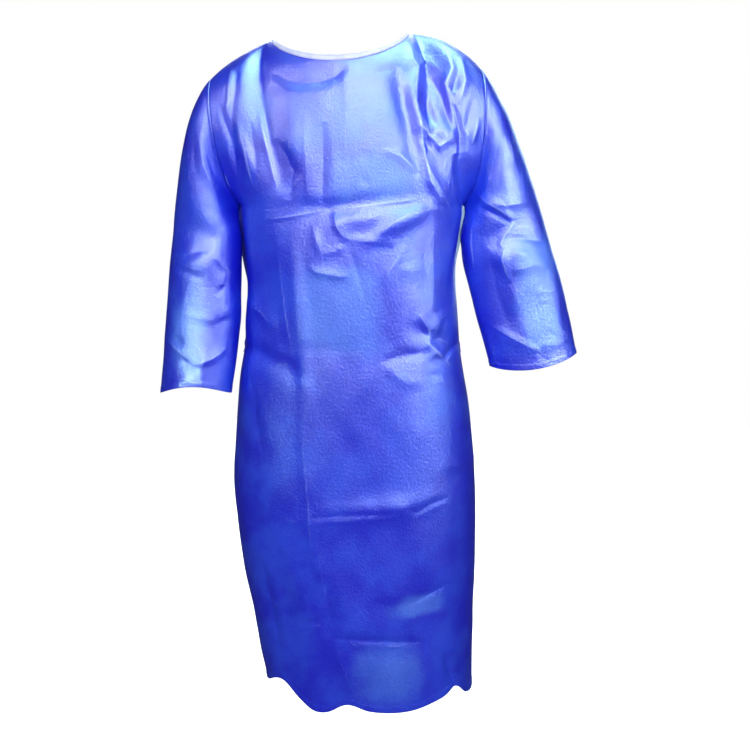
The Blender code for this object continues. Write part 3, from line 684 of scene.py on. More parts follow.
def panel_shape(side):
    """Points and outward directions of the front (-1) or the back (+1), folds included."""
    def base(u, v):
        return panel(side, u, v)

    def shape(u, v):
        point = base(u, v)
        out = normals(base, u, v) * -side
        seam = (v > 1 - 1e-6) & (np.minimum(u, 1 - u) < SHOULDER_COLUMNS / COLUMNS)
        out[seam, 1] = 0
        out = unit(out)
        table = BACK_FOLDS if side > 0 else FRONT_FOLDS
        fade = ease(0, FADE_SIDE, np.minimum(u, 1 - u)) * ease(0, FADE_TOP, 1 - v)
        lift = fold_height(table, point[:, 0] / MM, point[:, 2] / MM) * MM * fade
        point = point + out * lift[:, None]
        point[:, 1] += side * SEAM_GAP / 2
        return point, out

    return shape


def back_right_shape(u, v):
    """The under layer steps in where the other panel lies over it."""
    point, out = panel_shape(1)(u, v)
    lap = LAP_COLUMNS / COLUMNS
    inset = UNDERLAP_INSET * (1 - ease(0.5 + lap, 0.5 + 2 * lap, u))
    return point - out * inset[:, None], out


def armhole(edge, around):
    """Closed armhole curve: from the shoulder over the front, under the arm and up the back."""
    edge_u = np.full_like(around, edge)
    front = yoke(-1, edge_u, np.clip(1 - 2 * around, 0, 1))
    back = yoke(1, edge_u, np.clip(2 * around - 1, 0, 1))
    return np.where(around[:, None] <= 0.5, front, back)


def armhole_out(edge, around):
    """Outward direction of the panels along the armhole."""
    edge_u = np.full_like(around, edge)
    side = np.where(around <= 0.5, -1, 1)
    v = CHEST_SHARE + (1 - CHEST_SHARE) * np.abs(1 - 2 * around)
    front = panel_shape(-1)(edge_u, v)[1]
    back = panel_shape(1)(edge_u, v)[1]
    return np.where(side[:, None] < 0, front, back)


def sleeve_ring(table, outward, around, z):
    table = np.array(table)
    table[:, :5] *= MM
    cx, cy, half_width, half_depth, rise, arch = read_curve(table[:, 0], table[:, 1:], z).T
    x = outward * half_width * np.cos(2 * np.pi * around)
    y = -half_depth * np.sin(2 * np.pi * around)
    return np.stack([cx + x, cy + y, z + rise * x + arch * y**2 / half_depth], -1)


def sleeve_shape(table, cap_pull, outward):
    """Points and outward directions of a sleeve, v from the armhole to the cuff."""
    edge = 0.0 if outward < 0 else 1.0
    top_z, cuff_z = table[0][0] * MM, table[-1][0] * MM

    def base(u, v):
        around = u % 1.0
        start = armhole(edge, around)
        start[:, 0] += outward * ARMHOLE_GAP
        t = np.clip(v / CAP_SHARE, 0, 1)[:, None]
        end = sleeve_ring(table, outward, around, np.full_like(u, top_z))
        below = sleeve_ring(table, outward, around, np.full_like(u, top_z - CAP_TANGENT))
        reach = np.linalg.norm(end - start, axis=1, keepdims=True)
        leaving = reach * np.array([outward * cap_pull[0], 0, -cap_pull[1]])
        arriving = reach * (below - end) / CAP_TANGENT
        cap = hermite(start, end, leaving, arriving, t)
        z = top_z + (cuff_z - top_z) * np.clip((v - CAP_SHARE) / (1 - CAP_SHARE), 0, 1)
        tube = sleeve_ring(table, outward, around, z)
        return np.where(v[:, None] <= CAP_SHARE, cap, tube)

    def shape(u, v):
        point = base(u, v)
        out = normals(base, u, v, closed=True) * outward
        out = unit(out + (armhole_out(edge, u % 1.0) - out) * (1 - ease(0, HEAD_TURN, v))[:, None])
        lift = fold_height(SLEEVE_FOLDS, u % 1.0, v) * MM * ease(0, FADE_SLEEVE_HEAD, v)
        return point + out * lift[:, None], out

    return shape


def crest(away, foot):
    """Height of a crease at a distance from its line: flat sides down to a soft foot."""
    rounded = np.sqrt(away**2 + CREASE_ROUND_TOP**2) - CREASE_ROUND_TOP
    slope = np.clip(1 - rounded / foot, 0, 1)
    return (1 + CREASE_ROUND_FOOT) * slope**2 / (slope + CREASE_ROUND_FOOT)


def crease_lift(table, x, z):
    """At points in millimetres: height of the creases, how hard they bend it, how close they are."""
    lift, bent, close = np.zeros_like(x), np.zeros_like(x), np.zeros_like(x)
    for height, plus, minus, line in table:
        line = np.array(line, float)
        steps = np.diff(line, axis=0)
        lengths = np.hypot(steps[:, 0], steps[:, 1])
        starts = np.concatenate([[0], np.cumsum(lengths)])
        nearest = np.full_like(x, np.inf)
        side, along = np.zeros_like(x), np.zeros_like(x)
        for (x0, z0), (dx, dz), length, start in zip(line, steps, lengths, starts):
            t = np.clip(((x - x0) * dx + (z - z0) * dz) / length**2, 0, 1)
            away = np.hypot(x - x0 - t * dx, z - z0 - t * dz)
            nearer = away < nearest
            nearest = np.where(nearer, away, nearest)
            side = np.where(nearer, dx * (z - z0) - dz * (x - x0), side)
            along = np.where(nearer, (start + t * length) / starts[-1], along)
        ends = np.sin(np.pi * along) ** CREASE_TAPER
        foot = CREASE_FOOT[0] * np.where(side > 0, plus, minus) + CREASE_FOOT[1]
        steep = abs(height) / (CREASE_FOOT[0] * min(plus, minus) + CREASE_FOOT[1])
        raised = steep if height > 0 else 0
        foot = foot * (CREASE_NARROW_END + (1 - CREASE_NARROW_END) * ends)
        lift += CREASE_SHARE * height * ends * crest(nearest, foot)
        # Only raised creases get the pale line, which is partly whitened film and partly a painted
        # highlight
        bent += raised * ends * np.exp(-((nearest / PALE_REACH) ** 2))
        close = np.maximum(close, steep * np.exp(-((nearest / FINE_REACH) ** 2)))
    return lift, bent, close


def haze_and_sheen(table, x, z):
    """How hazy the film is at points in millimetres, 0 to 1; the same share sets its painted sheen."""
    total = np.zeros_like(x)
    for x0, z0, wide, high, amount in table:
        total += amount * np.exp(-(((x - x0) / wide) ** 4) - ((z - z0) / high) ** 4)
    return np.clip(total, 0, 1)


def ripple(point):
    """Low waves that keep the film from lying flat between its creases."""
    total = np.zeros(len(point))
    for height, *lengths, phase in RIPPLES:
        turns = 2 * np.pi * point / np.array(lengths)
        sway = RIPPLE_SWAY * np.sin(turns[:, 2] + phase)
        total += height * MM * np.sin(turns[:, 0] + sway) * np.cos(turns[:, 1] + phase)
    return total


def hem_relief(distance):
    """A turned hem stands proud of the cloth up to its line of stitches."""
    proud = HEM_PROUD * (1 - ease(HEM_TURN, HEM_TURN + HEM_SOFT, distance))
    return proud - HEM_GROOVE * np.exp(-(((distance - HEM_TURN) / HEM_GROOVE_WIDTH) ** 2))


def seam_dip(distance):
    """The cloth sinks a little along a seam."""
    return -SEAM_DIP * np.exp(-((distance / SEAM_DIP_WIDTH) ** 2))


def creased_panel(shape, table, haze_and_sheen_patches=()):
    """Panel with its creases, hem and seams: points, outward directions, bending and haze, closeness.
    Bending paints pale crease lines that are partly a painted highlight; haze adds a painted sheen.
    """
    def creased(u, v):
        point, out = shape(u, v)
        edge = np.minimum(u, 1 - u)
        fade = ease(0, CREASE_FADE_SIDE, edge) * ease(0, CREASE_FADE_TOP, 1 - v)
        lift, bent, close = crease_lift(table, point[:, 0] / MM, point[:, 2] / MM)
        lift = lift * MM * fade + ripple(point) * fade
        lift += hem_relief(v / CHEST_SHARE * (CHEST_Z - HEM_Z)) + seam_dip(edge * PANEL_SIZE[0])
        hazy_and_sheen = haze_and_sheen(haze_and_sheen_patches, point[:, 0] / MM, point[:, 2] / MM)
        return point + out * lift[:, None], out, (bent * fade, hazy_and_sheen), close

    return creased


def creased_sleeve(shape, front_table, back_table, haze_and_sheen_patches, length):
    """The same for a sleeve, with a table of creases for its front and one for its back."""
    def creased(u, v):
        point, out = shape(u, v)
        facing = np.sin(2 * np.pi * u)
        x, z = point[:, 0] / MM, point[:, 2] / MM
        front, front_bent, front_close = crease_lift(front_table, x, z)
        back, back_bent, back_close = crease_lift(back_table, x, z)
        on_front, on_back = ease(0, CREASE_FADE_FACING, facing), ease(0, CREASE_FADE_FACING, -facing)
        fade = ease(0, CREASE_FADE_SLEEVE, v)
        lift = (front * on_front + back * on_back) * MM * fade + ripple(point) * fade
        lift += hem_relief((1 - v) * length) + seam_dip(v * length)
        look = (front_bent * on_front + back_bent * on_back) * fade, haze_and_sheen(haze_and_sheen_patches, x, z) * on_front
        return point + out * lift[:, None], out, look, front_close * on_front + back_close * on_back

    return creased


def panel_rows():
    """Rows from the hem to the top edge: close at the hem, over the chest and in the yoke."""
    share = CHEST_SHARE / (CHEST_Z - HEM_Z)
    hem = HEM_ROWS * share
    low = np.linspace(hem[-1], ROW_CHANGE * CHEST_SHARE, BODY_ROWS[0] + 1)[1:]
    high = np.linspace(ROW_CHANGE * CHEST_SHARE, CHEST_SHARE, BODY_ROWS[1] + 1)[1:]
    top = np.linspace(CHEST_SHARE, 1, YOKE_ROWS + 1)[1:]
    return np.concatenate([hem, low, high, top])


def panel_columns():
    middle = np.linspace(SIDE_COLUMNS[-1], 1 - SIDE_COLUMNS[-1], FRONT_COLUMNS + 1)[1:-1]
    return np.concatenate([SIDE_COLUMNS, middle, 1 - SIDE_COLUMNS[::-1]])


def make_finer(mesh, shape):
    """Divides the faces that lie near a crease, which keep their place in the flat grid, once or twice."""
    for level in FINE_LEVELS:
        centres = np.array([face.calc_center_median()[:2] for face in mesh.faces])
        close = shape(centres[:, 0], centres[:, 1])[3]
        inside = np.minimum(centres[:, 0], 1 - centres[:, 0]) > FINE_EDGE
        marked = (close > level) & inside
        edges = {edge for face, near in zip(mesh.faces, marked) if near for edge in face.edges}
        bmesh.ops.subdivide_edges(mesh, edges=list(edges), cuts=1, use_grid_fill=True)
        mesh.verts.index_update()


def cloth(name, shape, columns, rows, look, size, closed=False, wall=CLOTH, fine=False):
    """A grid with the given columns and rows laid over the shape, with a wall inwards from it.

    Its UV map is in metres along the cloth. Its attributes say where the film is bent, which paints pale
    crease lines that are partly a painted highlight, and where it is hazy, which adds a painted sheen."""
    mesh = bmesh.new()
    bmesh.ops.create_grid(mesh, x_segments=len(columns) - 1, y_segments=len(rows) - 1, size=0.5)
    for vert in mesh.verts:
        vert.co.x = np.interp(vert.co.x + 0.5, np.linspace(0, 1, len(columns)), columns)
        vert.co.y = np.interp(vert.co.y + 0.5, np.linspace(0, 1, len(rows)), rows)
    if fine:
        make_finer(mesh, shape)
    u, v = np.array([vert.co[:2] for vert in mesh.verts]).T
    points, out, look_of_film = shape(u, v)[:3]
    weave = mesh.loops.layers.uv.new("cloth")
    for face in mesh.faces:
        for loop in face.loops:
            index = loop.vert.index
            loop[weave].uv = (u[index] * size[0], v[index] * size[1])
    for name_of_layer, values in zip(("bent", "haze_and_sheen"), look_of_film):
        layer = mesh.verts.layers.float.new(name_of_layer)
        for vert, value in zip(mesh.verts, values):
            vert[layer] = value
    for vert, point in zip(mesh.verts, points):
        vert.co = point
    mesh.normal_update()
    middle = mesh.faces[:][len(mesh.faces) // 2]
    if middle.normal.dot(Vector(out[middle.verts[0].index])) < 0:
        bmesh.ops.reverse_faces(mesh, faces=mesh.faces)
    if closed:
        bmesh.ops.remove_doubles(mesh, verts=mesh.verts, dist=WELD)
    made = add_object(name, mesh, look)
    thick = made.modifiers.new("wall", "SOLIDIFY")
    thick.thickness = wall
    thick.offset = -1
    thick.use_even_offset = False
    return made


def add_object(name, mesh, look):
    data = bpy.data.meshes.new(name)
    mesh.to_mesh(data)
    mesh.free()
    data.materials.append(look)
    data.shade_smooth()
    made = bpy.data.objects.new(name, data)
    bpy.context.scene.collection.objects.link(made)
    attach(made, "root")
    return made


def neck_line(columns):
    """Neck edge from the under layer's free edge round the front to the outer layer's."""
    share, lap = SHOULDER_COLUMNS / COLUMNS, LAP_COLUMNS / COLUMNS
    under = np.linspace(0.5 - lap, 1 - share, columns)
    front = np.linspace(1 - share, share, 2 * columns)
    outer = np.linspace(share, 0.5 + lap, columns)
    parts = ((back_right_shape, under), (panel_shape(-1), front), (panel_shape(1), outer))
    top, out, low = [], [], []
    for shape, u in parts:
        point, outward = shape(u, np.ones_like(u))
        top.append(point)
        out.append(outward)
        low.append(shape(u, np.full_like(u, 1 - NECK_STEP))[0])
    return np.concatenate(top), np.concatenate(out), np.concatenate(low)


def smooth_line(values, times):
    for _ in range(times):
        middle = (values[:-2] + 2 * values[1:-1] + values[2:]) / 4
        values = np.concatenate([values[:1], middle, values[-1:]])
    return values


def tape_section():
    """Closed section of the folded tape: distance outwards and distance down from the edge."""
    turn = np.linspace(0, np.pi, TAPE_TURN + 2)
    near, far = TAPE_CLEAR, TAPE_CLEAR + TAPE
    centre = -CLOTH / 2

    def side(reach, outer_leg, inner_leg):
        half = CLOTH / 2 + reach
        arc = [(centre + half * math.cos(a), -half * math.sin(a) * TAPE_FLATNESS) for a in turn]
        legs = np.linspace(outer_leg, 0, TAPE_LEG_POINTS)[:-1]
        back = np.linspace(0, inner_leg, TAPE_LEG_POINTS)[1:]
        return [(reach, d) for d in legs] + arc + [(-CLOTH - reach, d) for d in back]

    return side(far, TAPE_OUTER_LEG, TAPE_INNER_LEG) + side(near, TAPE_OUTER_LEG, TAPE_INNER_LEG)[::-1]


def tape_line():
    """Neck edge with its smoothed directions outwards and down the cloth."""
    top, out, low = neck_line(NECK_POINTS)
    down = unit(low - top)
    out, down = (unit(smooth_line(way, SMOOTH_DIRECTIONS)) for way in (out, down))
    return smooth_line(top, SMOOTH_TOP), out, down


def neck_tape(look):
    """Pale tape folded over the neck edge, with small puckers where it turns the curve."""
    top, out, down = tape_line()
    section = tape_section()
    height, wave, swell = TAPE_PUCKER
    mesh = bmesh.new()
    sides, stations = len(section), len(top) - 1
    bmesh.ops.create_grid(mesh, x_segments=sides, y_segments=stations, size=0.5)
    for vert in mesh.verts:
        a, b = section[round((vert.co.x + 0.5) * sides) % sides]
        station = round((vert.co.y + 0.5) * stations)
        pucker = height * math.sin(station * wave) * math.sin(station * swell + 1)
        vert.co = top[station] + out[station] * (a + math.copysign(pucker, a)) + down[station] * b
    bmesh.ops.remove_doubles(mesh, verts=mesh.verts, dist=WELD)
    bmesh.ops.holes_fill(mesh, edges=mesh.edges[:], sides=sides)
    bmesh.ops.recalc_face_normals(mesh, faces=mesh.faces)
    return add_object("neck_tape", mesh, look)


def tie_shape(u, v):
    """Tie lying on the outer back layer, with lengthwise creases from pulling it tight."""
    point, out = panel_shape(1)(u, v)
    point[:, 1] += SEAM_GAP
    share = CHEST_SHARE / (CHEST_Z - HEM_Z)
    across = (v - (TIE_Z - HEM_Z) * share) / (TIE_WIDTH * share)
    wave = np.sin(2 * np.pi * (1.6 * across + 0.3 * np.sin(9 * u)))
    curl = 0.7 * wave + 0.5 * np.sin(47 * u + 6 * across)
    lift = TIE_CLEAR + TIE_WALL + TIE_CURL * curl
    return point + out * lift[:, None], out, (np.abs(curl) * CURL_PALE_AND_HIGHLIGHT,)


def tail_shape(tail, top):
    """Hanging end of a tie: s runs across it, t down its length."""
    start, end, length = tail

    def centre(t):
        point, out = panel_shape(1)(start + (end - start) * t, top - length * t)
        return point + out * (TAIL_CLEAR + TIE_WALL), out

    def shape(s, t):
        point, out = centre(t)
        along = centre(np.minimum(t + STEP, 1))[0] - centre(np.maximum(t - STEP, 0))[0]
        side = unit(np.cross(out, along))
        curl = np.sin(2 * np.pi * (1.3 * s + 0.8 * t)) * (0.4 + 0.6 * t)
        point = point + side * ((s - 0.5) * TIE_WIDTH)[:, None]
        return point + out * (TAIL_CURL * (1 + curl))[:, None], out, (np.abs(curl) * CURL_PALE_AND_HIGHLIGHT,)

    return shape


def waist_ties(look):
    """Ties from the side seams to the centre back, with the knot and its two ends."""
    share = CHEST_SHARE / (CHEST_Z - HEM_Z)
    middle = (TIE_Z - HEM_Z) * share
    long, wide = TIE_GRID
    rows = np.linspace(middle - TIE_WIDTH * share / 2, middle + TIE_WIDTH * share / 2, wide)
    left, right = np.linspace(0, TIE_SHARE, long), np.linspace(1 - TIE_SHARE, 1, long)
    made = [
        cloth("tie_left", tie_shape, left, rows, look, PANEL_SIZE, wall=TIE_CLOTH),
        cloth("tie_right", tie_shape, right, rows, look, PANEL_SIZE, wall=TIE_CLOTH),
    ]
    top = middle - (KNOT_HEIGHT / 2 + TAIL_DROP) * share
    across, down = np.linspace(0, 1, wide), np.linspace(0, 1, long)
    for name, tail in (("tail_left", TAIL_LEFT), ("tail_right", TAIL_RIGHT)):
        shape = tail_shape(tail, top)
        made.append(cloth(name, shape, across, down, look, TAIL_SIZE, wall=TIE_CLOTH))
    point, out = panel_shape(1)(np.array([0.5]), np.array([middle]))
    made.append(knot(Vector(point[0] + out[0] * (TIE_CLEAR + TIE_WALL)), look))
    return made


def knot(place, look):
    """Flat knot: three turns of the tie drawn tight round each other."""
    mesh = bmesh.new()
    around, along = KNOT_GRID
    for tilt, turn, reach, width, depth, lift in KNOT_TURNS:
        ball = bmesh.ops.create_uvsphere(mesh, u_segments=around, v_segments=along, radius=0.5)
        verts = ball["verts"]
        for vert in verts:
            angle = math.atan2(vert.co.z, vert.co.x)
            crease = 1 + 0.07 * math.sin(9 * vert.co.y + 3 * angle)
            crease += 0.05 * math.sin(23 * vert.co.y + turn)
            vert.co = Vector((vert.co.x * crease, vert.co.y, vert.co.z * crease))
        bmesh.ops.scale(mesh, vec=(reach * MM, depth * MM, width * MM), verts=verts)
        turned = Matrix.Rotation(math.radians(tilt), 3, "Y")
        bmesh.ops.rotate(mesh, cent=(0, 0, 0), matrix=turned, verts=verts)
        bmesh.ops.translate(mesh, vec=place + Vector((0, depth * MM / 2 + lift * MM, 0)), verts=verts)
    return add_object("knot", mesh, look)


def neck_pad(look):
    """Touch fastener that fills the space between the two back layers under the nape."""
    def shape(u, v):
        point, out = panel_shape(1)(u, v)
        return point - out * (WALL + FASTENER_CLEAR), out, ()

    columns, rows = np.linspace(*FASTENER_ACROSS, 16), np.linspace(*FASTENER_ALONG, 5)
    thickness = UNDERLAP_INSET - WALL - 2 * FASTENER_CLEAR
    return cloth("neck_pad", shape, columns, rows, look, PAD_SIZE, wall=thickness)


def stitches(name, points, out, look):
    """Short thread stitches laid end to end along a line of points."""
    steps = np.linalg.norm(np.diff(points, axis=0), axis=1)
    run = np.concatenate([[0], np.cumsum(steps)])
    places = np.arange(STITCH_PITCH / 2, run[-1], STITCH_PITCH)
    at = np.stack([np.interp(places, run, points[:, k]) for k in range(3)], -1)
    ahead = np.stack([np.interp(places + STITCH_PITCH / 4, run, points[:, k]) for k in range(3)], -1)
    up = np.stack([np.interp(places, run, out[:, k]) for k in range(3)], -1)
    mesh = bmesh.new()
    length, width, height = STITCH_SIZE
    thread = {"cap_ends": True, "segments": STITCH_SIDES, "radius1": 0.5, "radius2": 0.5, "depth": 1}
    for place, forward, outward in zip(at, ahead - at, up):
        verts = bmesh.ops.create_cone(mesh, **thread)["verts"]
        bmesh.ops.scale(mesh, vec=(height, width, length), verts=verts)
        along, lift = Vector(forward).normalized(), Vector(outward).normalized()
        side = along.cross(lift).normalized()
        turn = Matrix((lift, side, along)).transposed()
        bmesh.ops.rotate(mesh, cent=(0, 0, 0), matrix=turn, verts=verts)
        bmesh.ops.translate(mesh, vec=Vector(place), verts=verts)
    return add_object(name, mesh, look)


class Value:
    """A shader socket that sums and products can be written with."""

    def __init__(self, look, socket):
        self.look = look
        self.socket = socket

    def math(self, operation, first, second):
        return self.look.node("ShaderNodeMath", {"operation": operation}, {0: first, 1: second})

    def __add__(self, other):
        return self.math("ADD", self, other)

    def __mul__(self, other):
        return self.math("MULTIPLY", self, other)

    def __radd__(self, other):
        return self.math("ADD", other, self)

    def __rmul__(self, other):
        return self.math("MULTIPLY", other, self)


class Finish:
    """A material under construction."""

    def __init__(self, name):
        self.material = bpy.data.materials.new(name)
        self.material.use_nodes = True
        self.tree = self.material.node_tree
        self.shader = self.tree.nodes["Principled BSDF"]

    def node(self, kind, settings=None, values=None, output=0):
        """Adds a node: its settings first, then the values or links of its sockets."""
        made = self.tree.nodes.new(kind)
        for name, value in (settings or {}).items():
            setattr(made, name, value)
        for name, value in (values or {}).items():
            self.feed(made.inputs[name], value)
        return Value(self, made.outputs[output])

    def feed(self, socket, value):
        if isinstance(value, Value):
            self.tree.links.new(value.socket, socket)
        else:
            socket.default_value = value

    def set(self, **values):
        """Sets the shader's sockets, named with _ for each space."""
        for name, value in values.items():
            self.feed(self.shader.inputs[name.replace("_", " ")], value)

    def place(self):
        return self.node("ShaderNodeTexCoord", output="Object")

    def attribute(self, name):
        return self.node("ShaderNodeAttribute", {"attribute_name": name}, output="Fac")

    def noise(self, vector, scale, detail, roughness):
        values = {"Vector": vector, "Scale": scale, "Detail": detail, "Roughness": roughness}
        return self.node("ShaderNodeTexNoise", {}, values, output="Fac")

    def window(self, value, low, high):
        """Runs smoothly from 0 at low to 1 at high."""
        settings = {"interpolation_type": "SMOOTHSTEP"}
        values = {"Value": value, "From Min": low, "From Max": high}
        return self.node("ShaderNodeMapRange", settings, values)

    def blend(self, share, first, second):
        values = {"Factor": share, "A": first, "B": second}
        return self.node("ShaderNodeMix", {"data_type": "RGBA"}, values, output=2)

    def bump(self, height, strength, distance):
        values = {"Height": height, "Strength": strength, "Distance": distance}
        return self.node("ShaderNodeBump", {}, values)


def film_finish():
    """Royal blue film on nonwoven: glossy, faintly cloudy, embossed; pale along raised creases, partly as
    whitened film and partly as a painted highlight, and lightened by a painted sheen where it is hazy.
    """
    look = Finish("blue_film")
    place = look.place()
    cloud, drift = look.noise(place, *FILM_CLOUD), look.noise(place, *FILM_DRIFT)
    mottle, grain = look.noise(place, *FILM_MOTTLE), look.noise(place, *FINE_GRAIN)
    # Pale lines along raised creases: partly whitened film, partly a painted highlight
    worn_and_highlight = look.window(look.attribute("bent") * (0.5 + mottle), *PALE_AND_HIGHLIGHT_WINDOW)
    # Hazy places are rougher, and their colour takes a painted sheen
    hazy_and_sheen = look.window(look.attribute("haze_and_sheen") * (0.8 * mottle + 1.3 * drift), *HAZE_AND_SHEEN_WINDOW)
    body = look.blend(look.window(cloud, *LIGHT_WINDOW), (*FILM_DEEP, 1), (*FILM_LIGHT, 1))
    clouded_with_sheen = look.blend(hazy_and_sheen * PAINTED_SHEEN_SHARE, body, (*FILM_PAINTED_SHEEN, 1))
    look.set(
        Base_Color=look.blend(worn_and_highlight * PALE_AND_HIGHLIGHT_SHARE, clouded_with_sheen, (*FILM_PALE_AND_HIGHLIGHT, 1)),
        Roughness=0.26 + 0.14 * mottle + 0.16 * hazy_and_sheen,
        IOR=FILM_IOR,
        Specular_IOR_Level=FILM_SPECULAR,
        Specular_Tint=FILM_TINT,
        Normal=look.bump(mottle + 0.4 * grain, *FILM_EMBOSS),
    )
    return look.material


def tape_finish():
    """Pale matt nonwoven tape with a fine uneven grain."""
    look = Finish("pale_tape")
    place = look.place()
    grain, patch = look.noise(place, *FINE_GRAIN), look.noise(place, *TAPE_PATCH)
    look.set(
        Base_Color=look.blend(look.window(patch, *PATCH_WINDOW), (*TAPE_LIGHT, 1), (*TAPE_SHADE, 1)),
        Roughness=0.5 + 0.2 * grain,
        Normal=look.bump(grain, *TAPE_EMBOSS),
    )
    return look.material


def thread_finish(name, colour):
    """Twisted thread that is darker in its turns."""
    look = Finish(name)
    twist = look.noise(look.place(), *THREAD_TWIST)
    darker = [THREAD_SHADE * part for part in colour]
    look.set(Base_Color=look.blend(twist, (*colour, 1), (*darker, 1)), Roughness=0.45 + 0.2 * twist)
    return look.material


def softbox(name, place, target, size, power, fan, colour, matt, glossy):
    """Rectangular light facing its target."""
    lamp = bpy.data.lights.new(name, "AREA")
    lamp.shape = "RECTANGLE"
    lamp.size, lamp.size_y = size
    lamp.energy = power
    lamp.spread = math.radians(fan)
    lamp.color = colour
    made = bpy.data.objects.new(name, lamp)
    made.location = place
    made.rotation_euler = (Vector(target) - Vector(place)).to_track_quat("-Z", "Y").to_euler()
    made.visible_camera = False
    made.visible_diffuse = matt
    made.visible_glossy = glossy
    bpy.context.scene.collection.objects.link(made)


def room():
    """White surroundings that light matt surfaces well and hardly show in gloss."""
    world = bpy.data.worlds.new("studio")
    world.use_nodes = True
    bpy.context.scene.world = world
    nodes, links = world.node_tree.nodes, world.node_tree.links
    background, path = nodes["Background"], nodes.new("ShaderNodeLightPath")
    in_gloss, in_view = nodes.new("ShaderNodeMapRange"), nodes.new("ShaderNodeMapRange")
    links.new(path.outputs["Is Glossy Ray"], in_gloss.inputs["Value"])
    in_gloss.inputs["To Min"].default_value = ROOM_LIGHT
    in_gloss.inputs["To Max"].default_value = ROOM_SHINE
    links.new(path.outputs["Is Camera Ray"], in_view.inputs["Value"])
    links.new(in_gloss.outputs[0], in_view.inputs["To Min"])
    in_view.inputs["To Max"].default_value = 1.0
    links.new(in_view.outputs[0], background.inputs["Strength"])
    background.inputs["Color"].default_value = (1, 1, 1, 1)


def floor():
    """Pale round floor, which neither lights the gown nor shows in its gloss."""
    mesh = bmesh.new()
    bmesh.ops.create_circle(mesh, cap_ends=True, segments=96, radius=FLOOR_RADIUS)
    bmesh.ops.translate(mesh, vec=(0, 0, FLOOR_Z), verts=mesh.verts)
    data = bpy.data.meshes.new("floor")
    mesh.to_mesh(data)
    mesh.free()
    data.materials.append(floor_finish())
    made = bpy.data.objects.new("floor", data)
    bpy.context.scene.collection.objects.link(made)
    made.visible_diffuse = False
    made.visible_glossy = False


def floor_finish():
    """Glowing so that the floor runs on into the surroundings without a horizon line."""
    look = Finish("pale_floor")
    look.set(Base_Color=(0.9, 0.9, 0.9, 1), Roughness=0.8)
    look.set(Emission_Color=(1, 1, 1, 1), Emission_Strength=FLOOR_GLOW)
    return look.material


def camera():
    lens = bpy.data.cameras.new("camera")
    lens.lens = CAMERA_LENS
    made = bpy.data.objects.new("camera", lens)
    made.location = CAMERA_PLACE
    made.rotation_euler = (CAMERA_TILT, 0, 0)
    bpy.context.scene.collection.objects.link(made)
    bpy.context.scene.camera = made


def studio():
    """Room, lamps, floor and camera."""
    room()
    for lamp in LAMPS:
        softbox(*lamp)
    floor()
    camera()
    bpy.context.scene.view_settings.view_transform = "Standard"


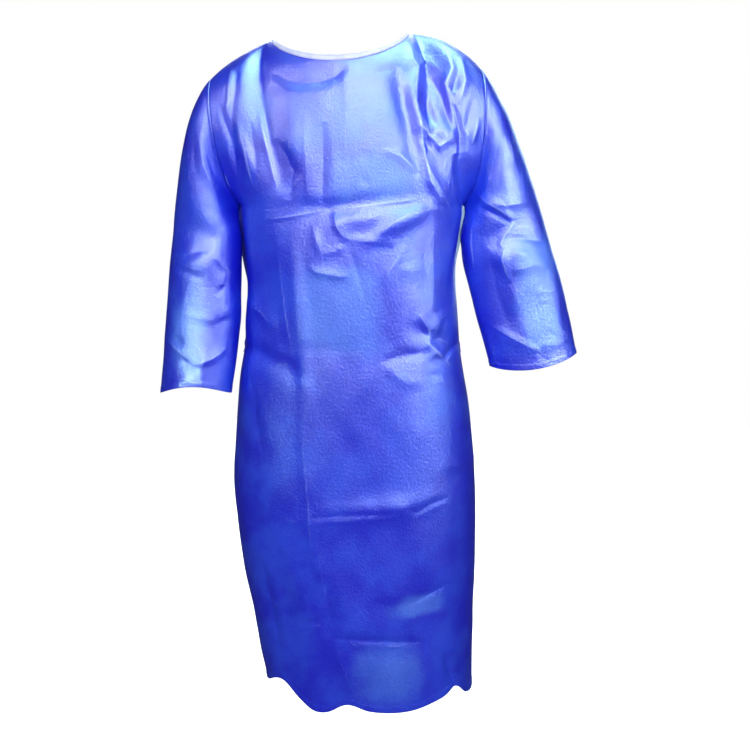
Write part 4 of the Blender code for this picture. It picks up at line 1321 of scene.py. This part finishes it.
def gown():
    """All pieces of cloth, tape and thread."""
    film, tape = film_finish(), tape_finish()
    thread = thread_finish("blue_thread", FILM_LIGHT)
    columns, rows = panel_columns(), panel_rows()
    lap = LAP_COLUMNS / COLUMNS
    front = creased_panel(panel_shape(-1), FRONT_CREASES, FRONT_HAZE_AND_SHEEN)
    outer = creased_panel(panel_shape(1), BACK_CREASES)
    under = creased_panel(back_right_shape, BACK_CREASES)
    left = creased_sleeve(
        sleeve_shape(SLEEVE_LEFT, CAP_LEFT, -1),
        SLEEVE_LEFT_CREASES, SLEEVE_LEFT_BACK_CREASES, SLEEVE_LEFT_HAZE_AND_SHEEN, SLEEVE_LEFT_SIZE[1],
    )
    right = creased_sleeve(
        sleeve_shape(SLEEVE_RIGHT, CAP_RIGHT, 1),
        SLEEVE_RIGHT_CREASES, SLEEVE_RIGHT_BACK_CREASES, SLEEVE_RIGHT_HAZE_AND_SHEEN, SLEEVE_RIGHT_SIZE[1],
    )
    half_left = np.append(columns[columns < 0.5 + lap - LAP_MARGIN], 0.5 + lap)
    half_right = np.insert(columns[columns > 0.5 - lap + LAP_MARGIN], 0, 0.5 - lap)
    around = np.linspace(0, 1, SLEEVE_COLUMNS + 1)
    middle_rows = np.linspace(SLEEVE_HEAD_ROWS[-1], SLEEVE_CUFF_ROWS[0], SLEEVE_ROWS)[1:-1]
    along = np.concatenate([SLEEVE_HEAD_ROWS, middle_rows, SLEEVE_CUFF_ROWS])
    on_body = {"look": film, "size": PANEL_SIZE, "fine": True}
    on_sleeve = {"look": film, "closed": True, "fine": True}
    pieces = {
        "front": cloth("front_panel", front, columns, rows, **on_body),
        "back_left": cloth("back_outer", outer, half_left, rows, **on_body),
        "back_right": cloth("back_under", under, half_right, rows, **on_body),
        "sleeve_left": cloth("left_sleeve", left, around, along, size=SLEEVE_LEFT_SIZE, **on_sleeve),
        "sleeve_right": cloth("right_sleeve", right, around, along, size=SLEEVE_RIGHT_SIZE, **on_sleeve),
        "neck_binding": neck_tape(tape),
        "neck_fastener": neck_pad(tape),
    }
    for node, piece in pieces.items():
        in_two = node == "front" or node.startswith("back")
        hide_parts(*((node + "_upper", node + "_lower") if in_two else (node,)))
    ties = waist_ties(film)
    nodes = ("waist_tie_left", "waist_tie_right", "waist_tail_left", "waist_tail_right", "waist_knot")
    for piece, node in zip(ties, nodes):
        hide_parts(node)
    hem = CHEST_SHARE * HEM_TURN / (CHEST_Z - HEM_Z)
    seams = {
        "front_hem_stitches": (front, STITCH_END, 1 - STITCH_END, hem),
        "outer_hem_stitches": (outer, STITCH_END, 0.5 + lap - STITCH_END, hem),
        "under_hem_stitches": (under, 0.5 - lap + STITCH_END, 1 - STITCH_END, hem),
        "left_cuff_stitches": (left, 0, 1, 1 - HEM_TURN / SLEEVE_LEFT_SIZE[1]),
        "right_cuff_stitches": (right, 0, 1, 1 - HEM_TURN / SLEEVE_RIGHT_SIZE[1]),
    }
    for name, (shape, start, end, height) in seams.items():
        across = np.linspace(start, end, STITCH_POINTS)
        point, out = shape(across, np.full_like(across, height))[:2]
        stitches(name, point, out, thread)
    top, out, down = tape_line()
    line = top + out * (TAPE_CLEAR + TAPE) + down * (TAPE_OUTER_LEG - TAPE_STITCH)
    stitches("neck_tape_stitches", line, out, thread)
    for piece in list(pieces.values()) + ties:
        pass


gown()
studio()
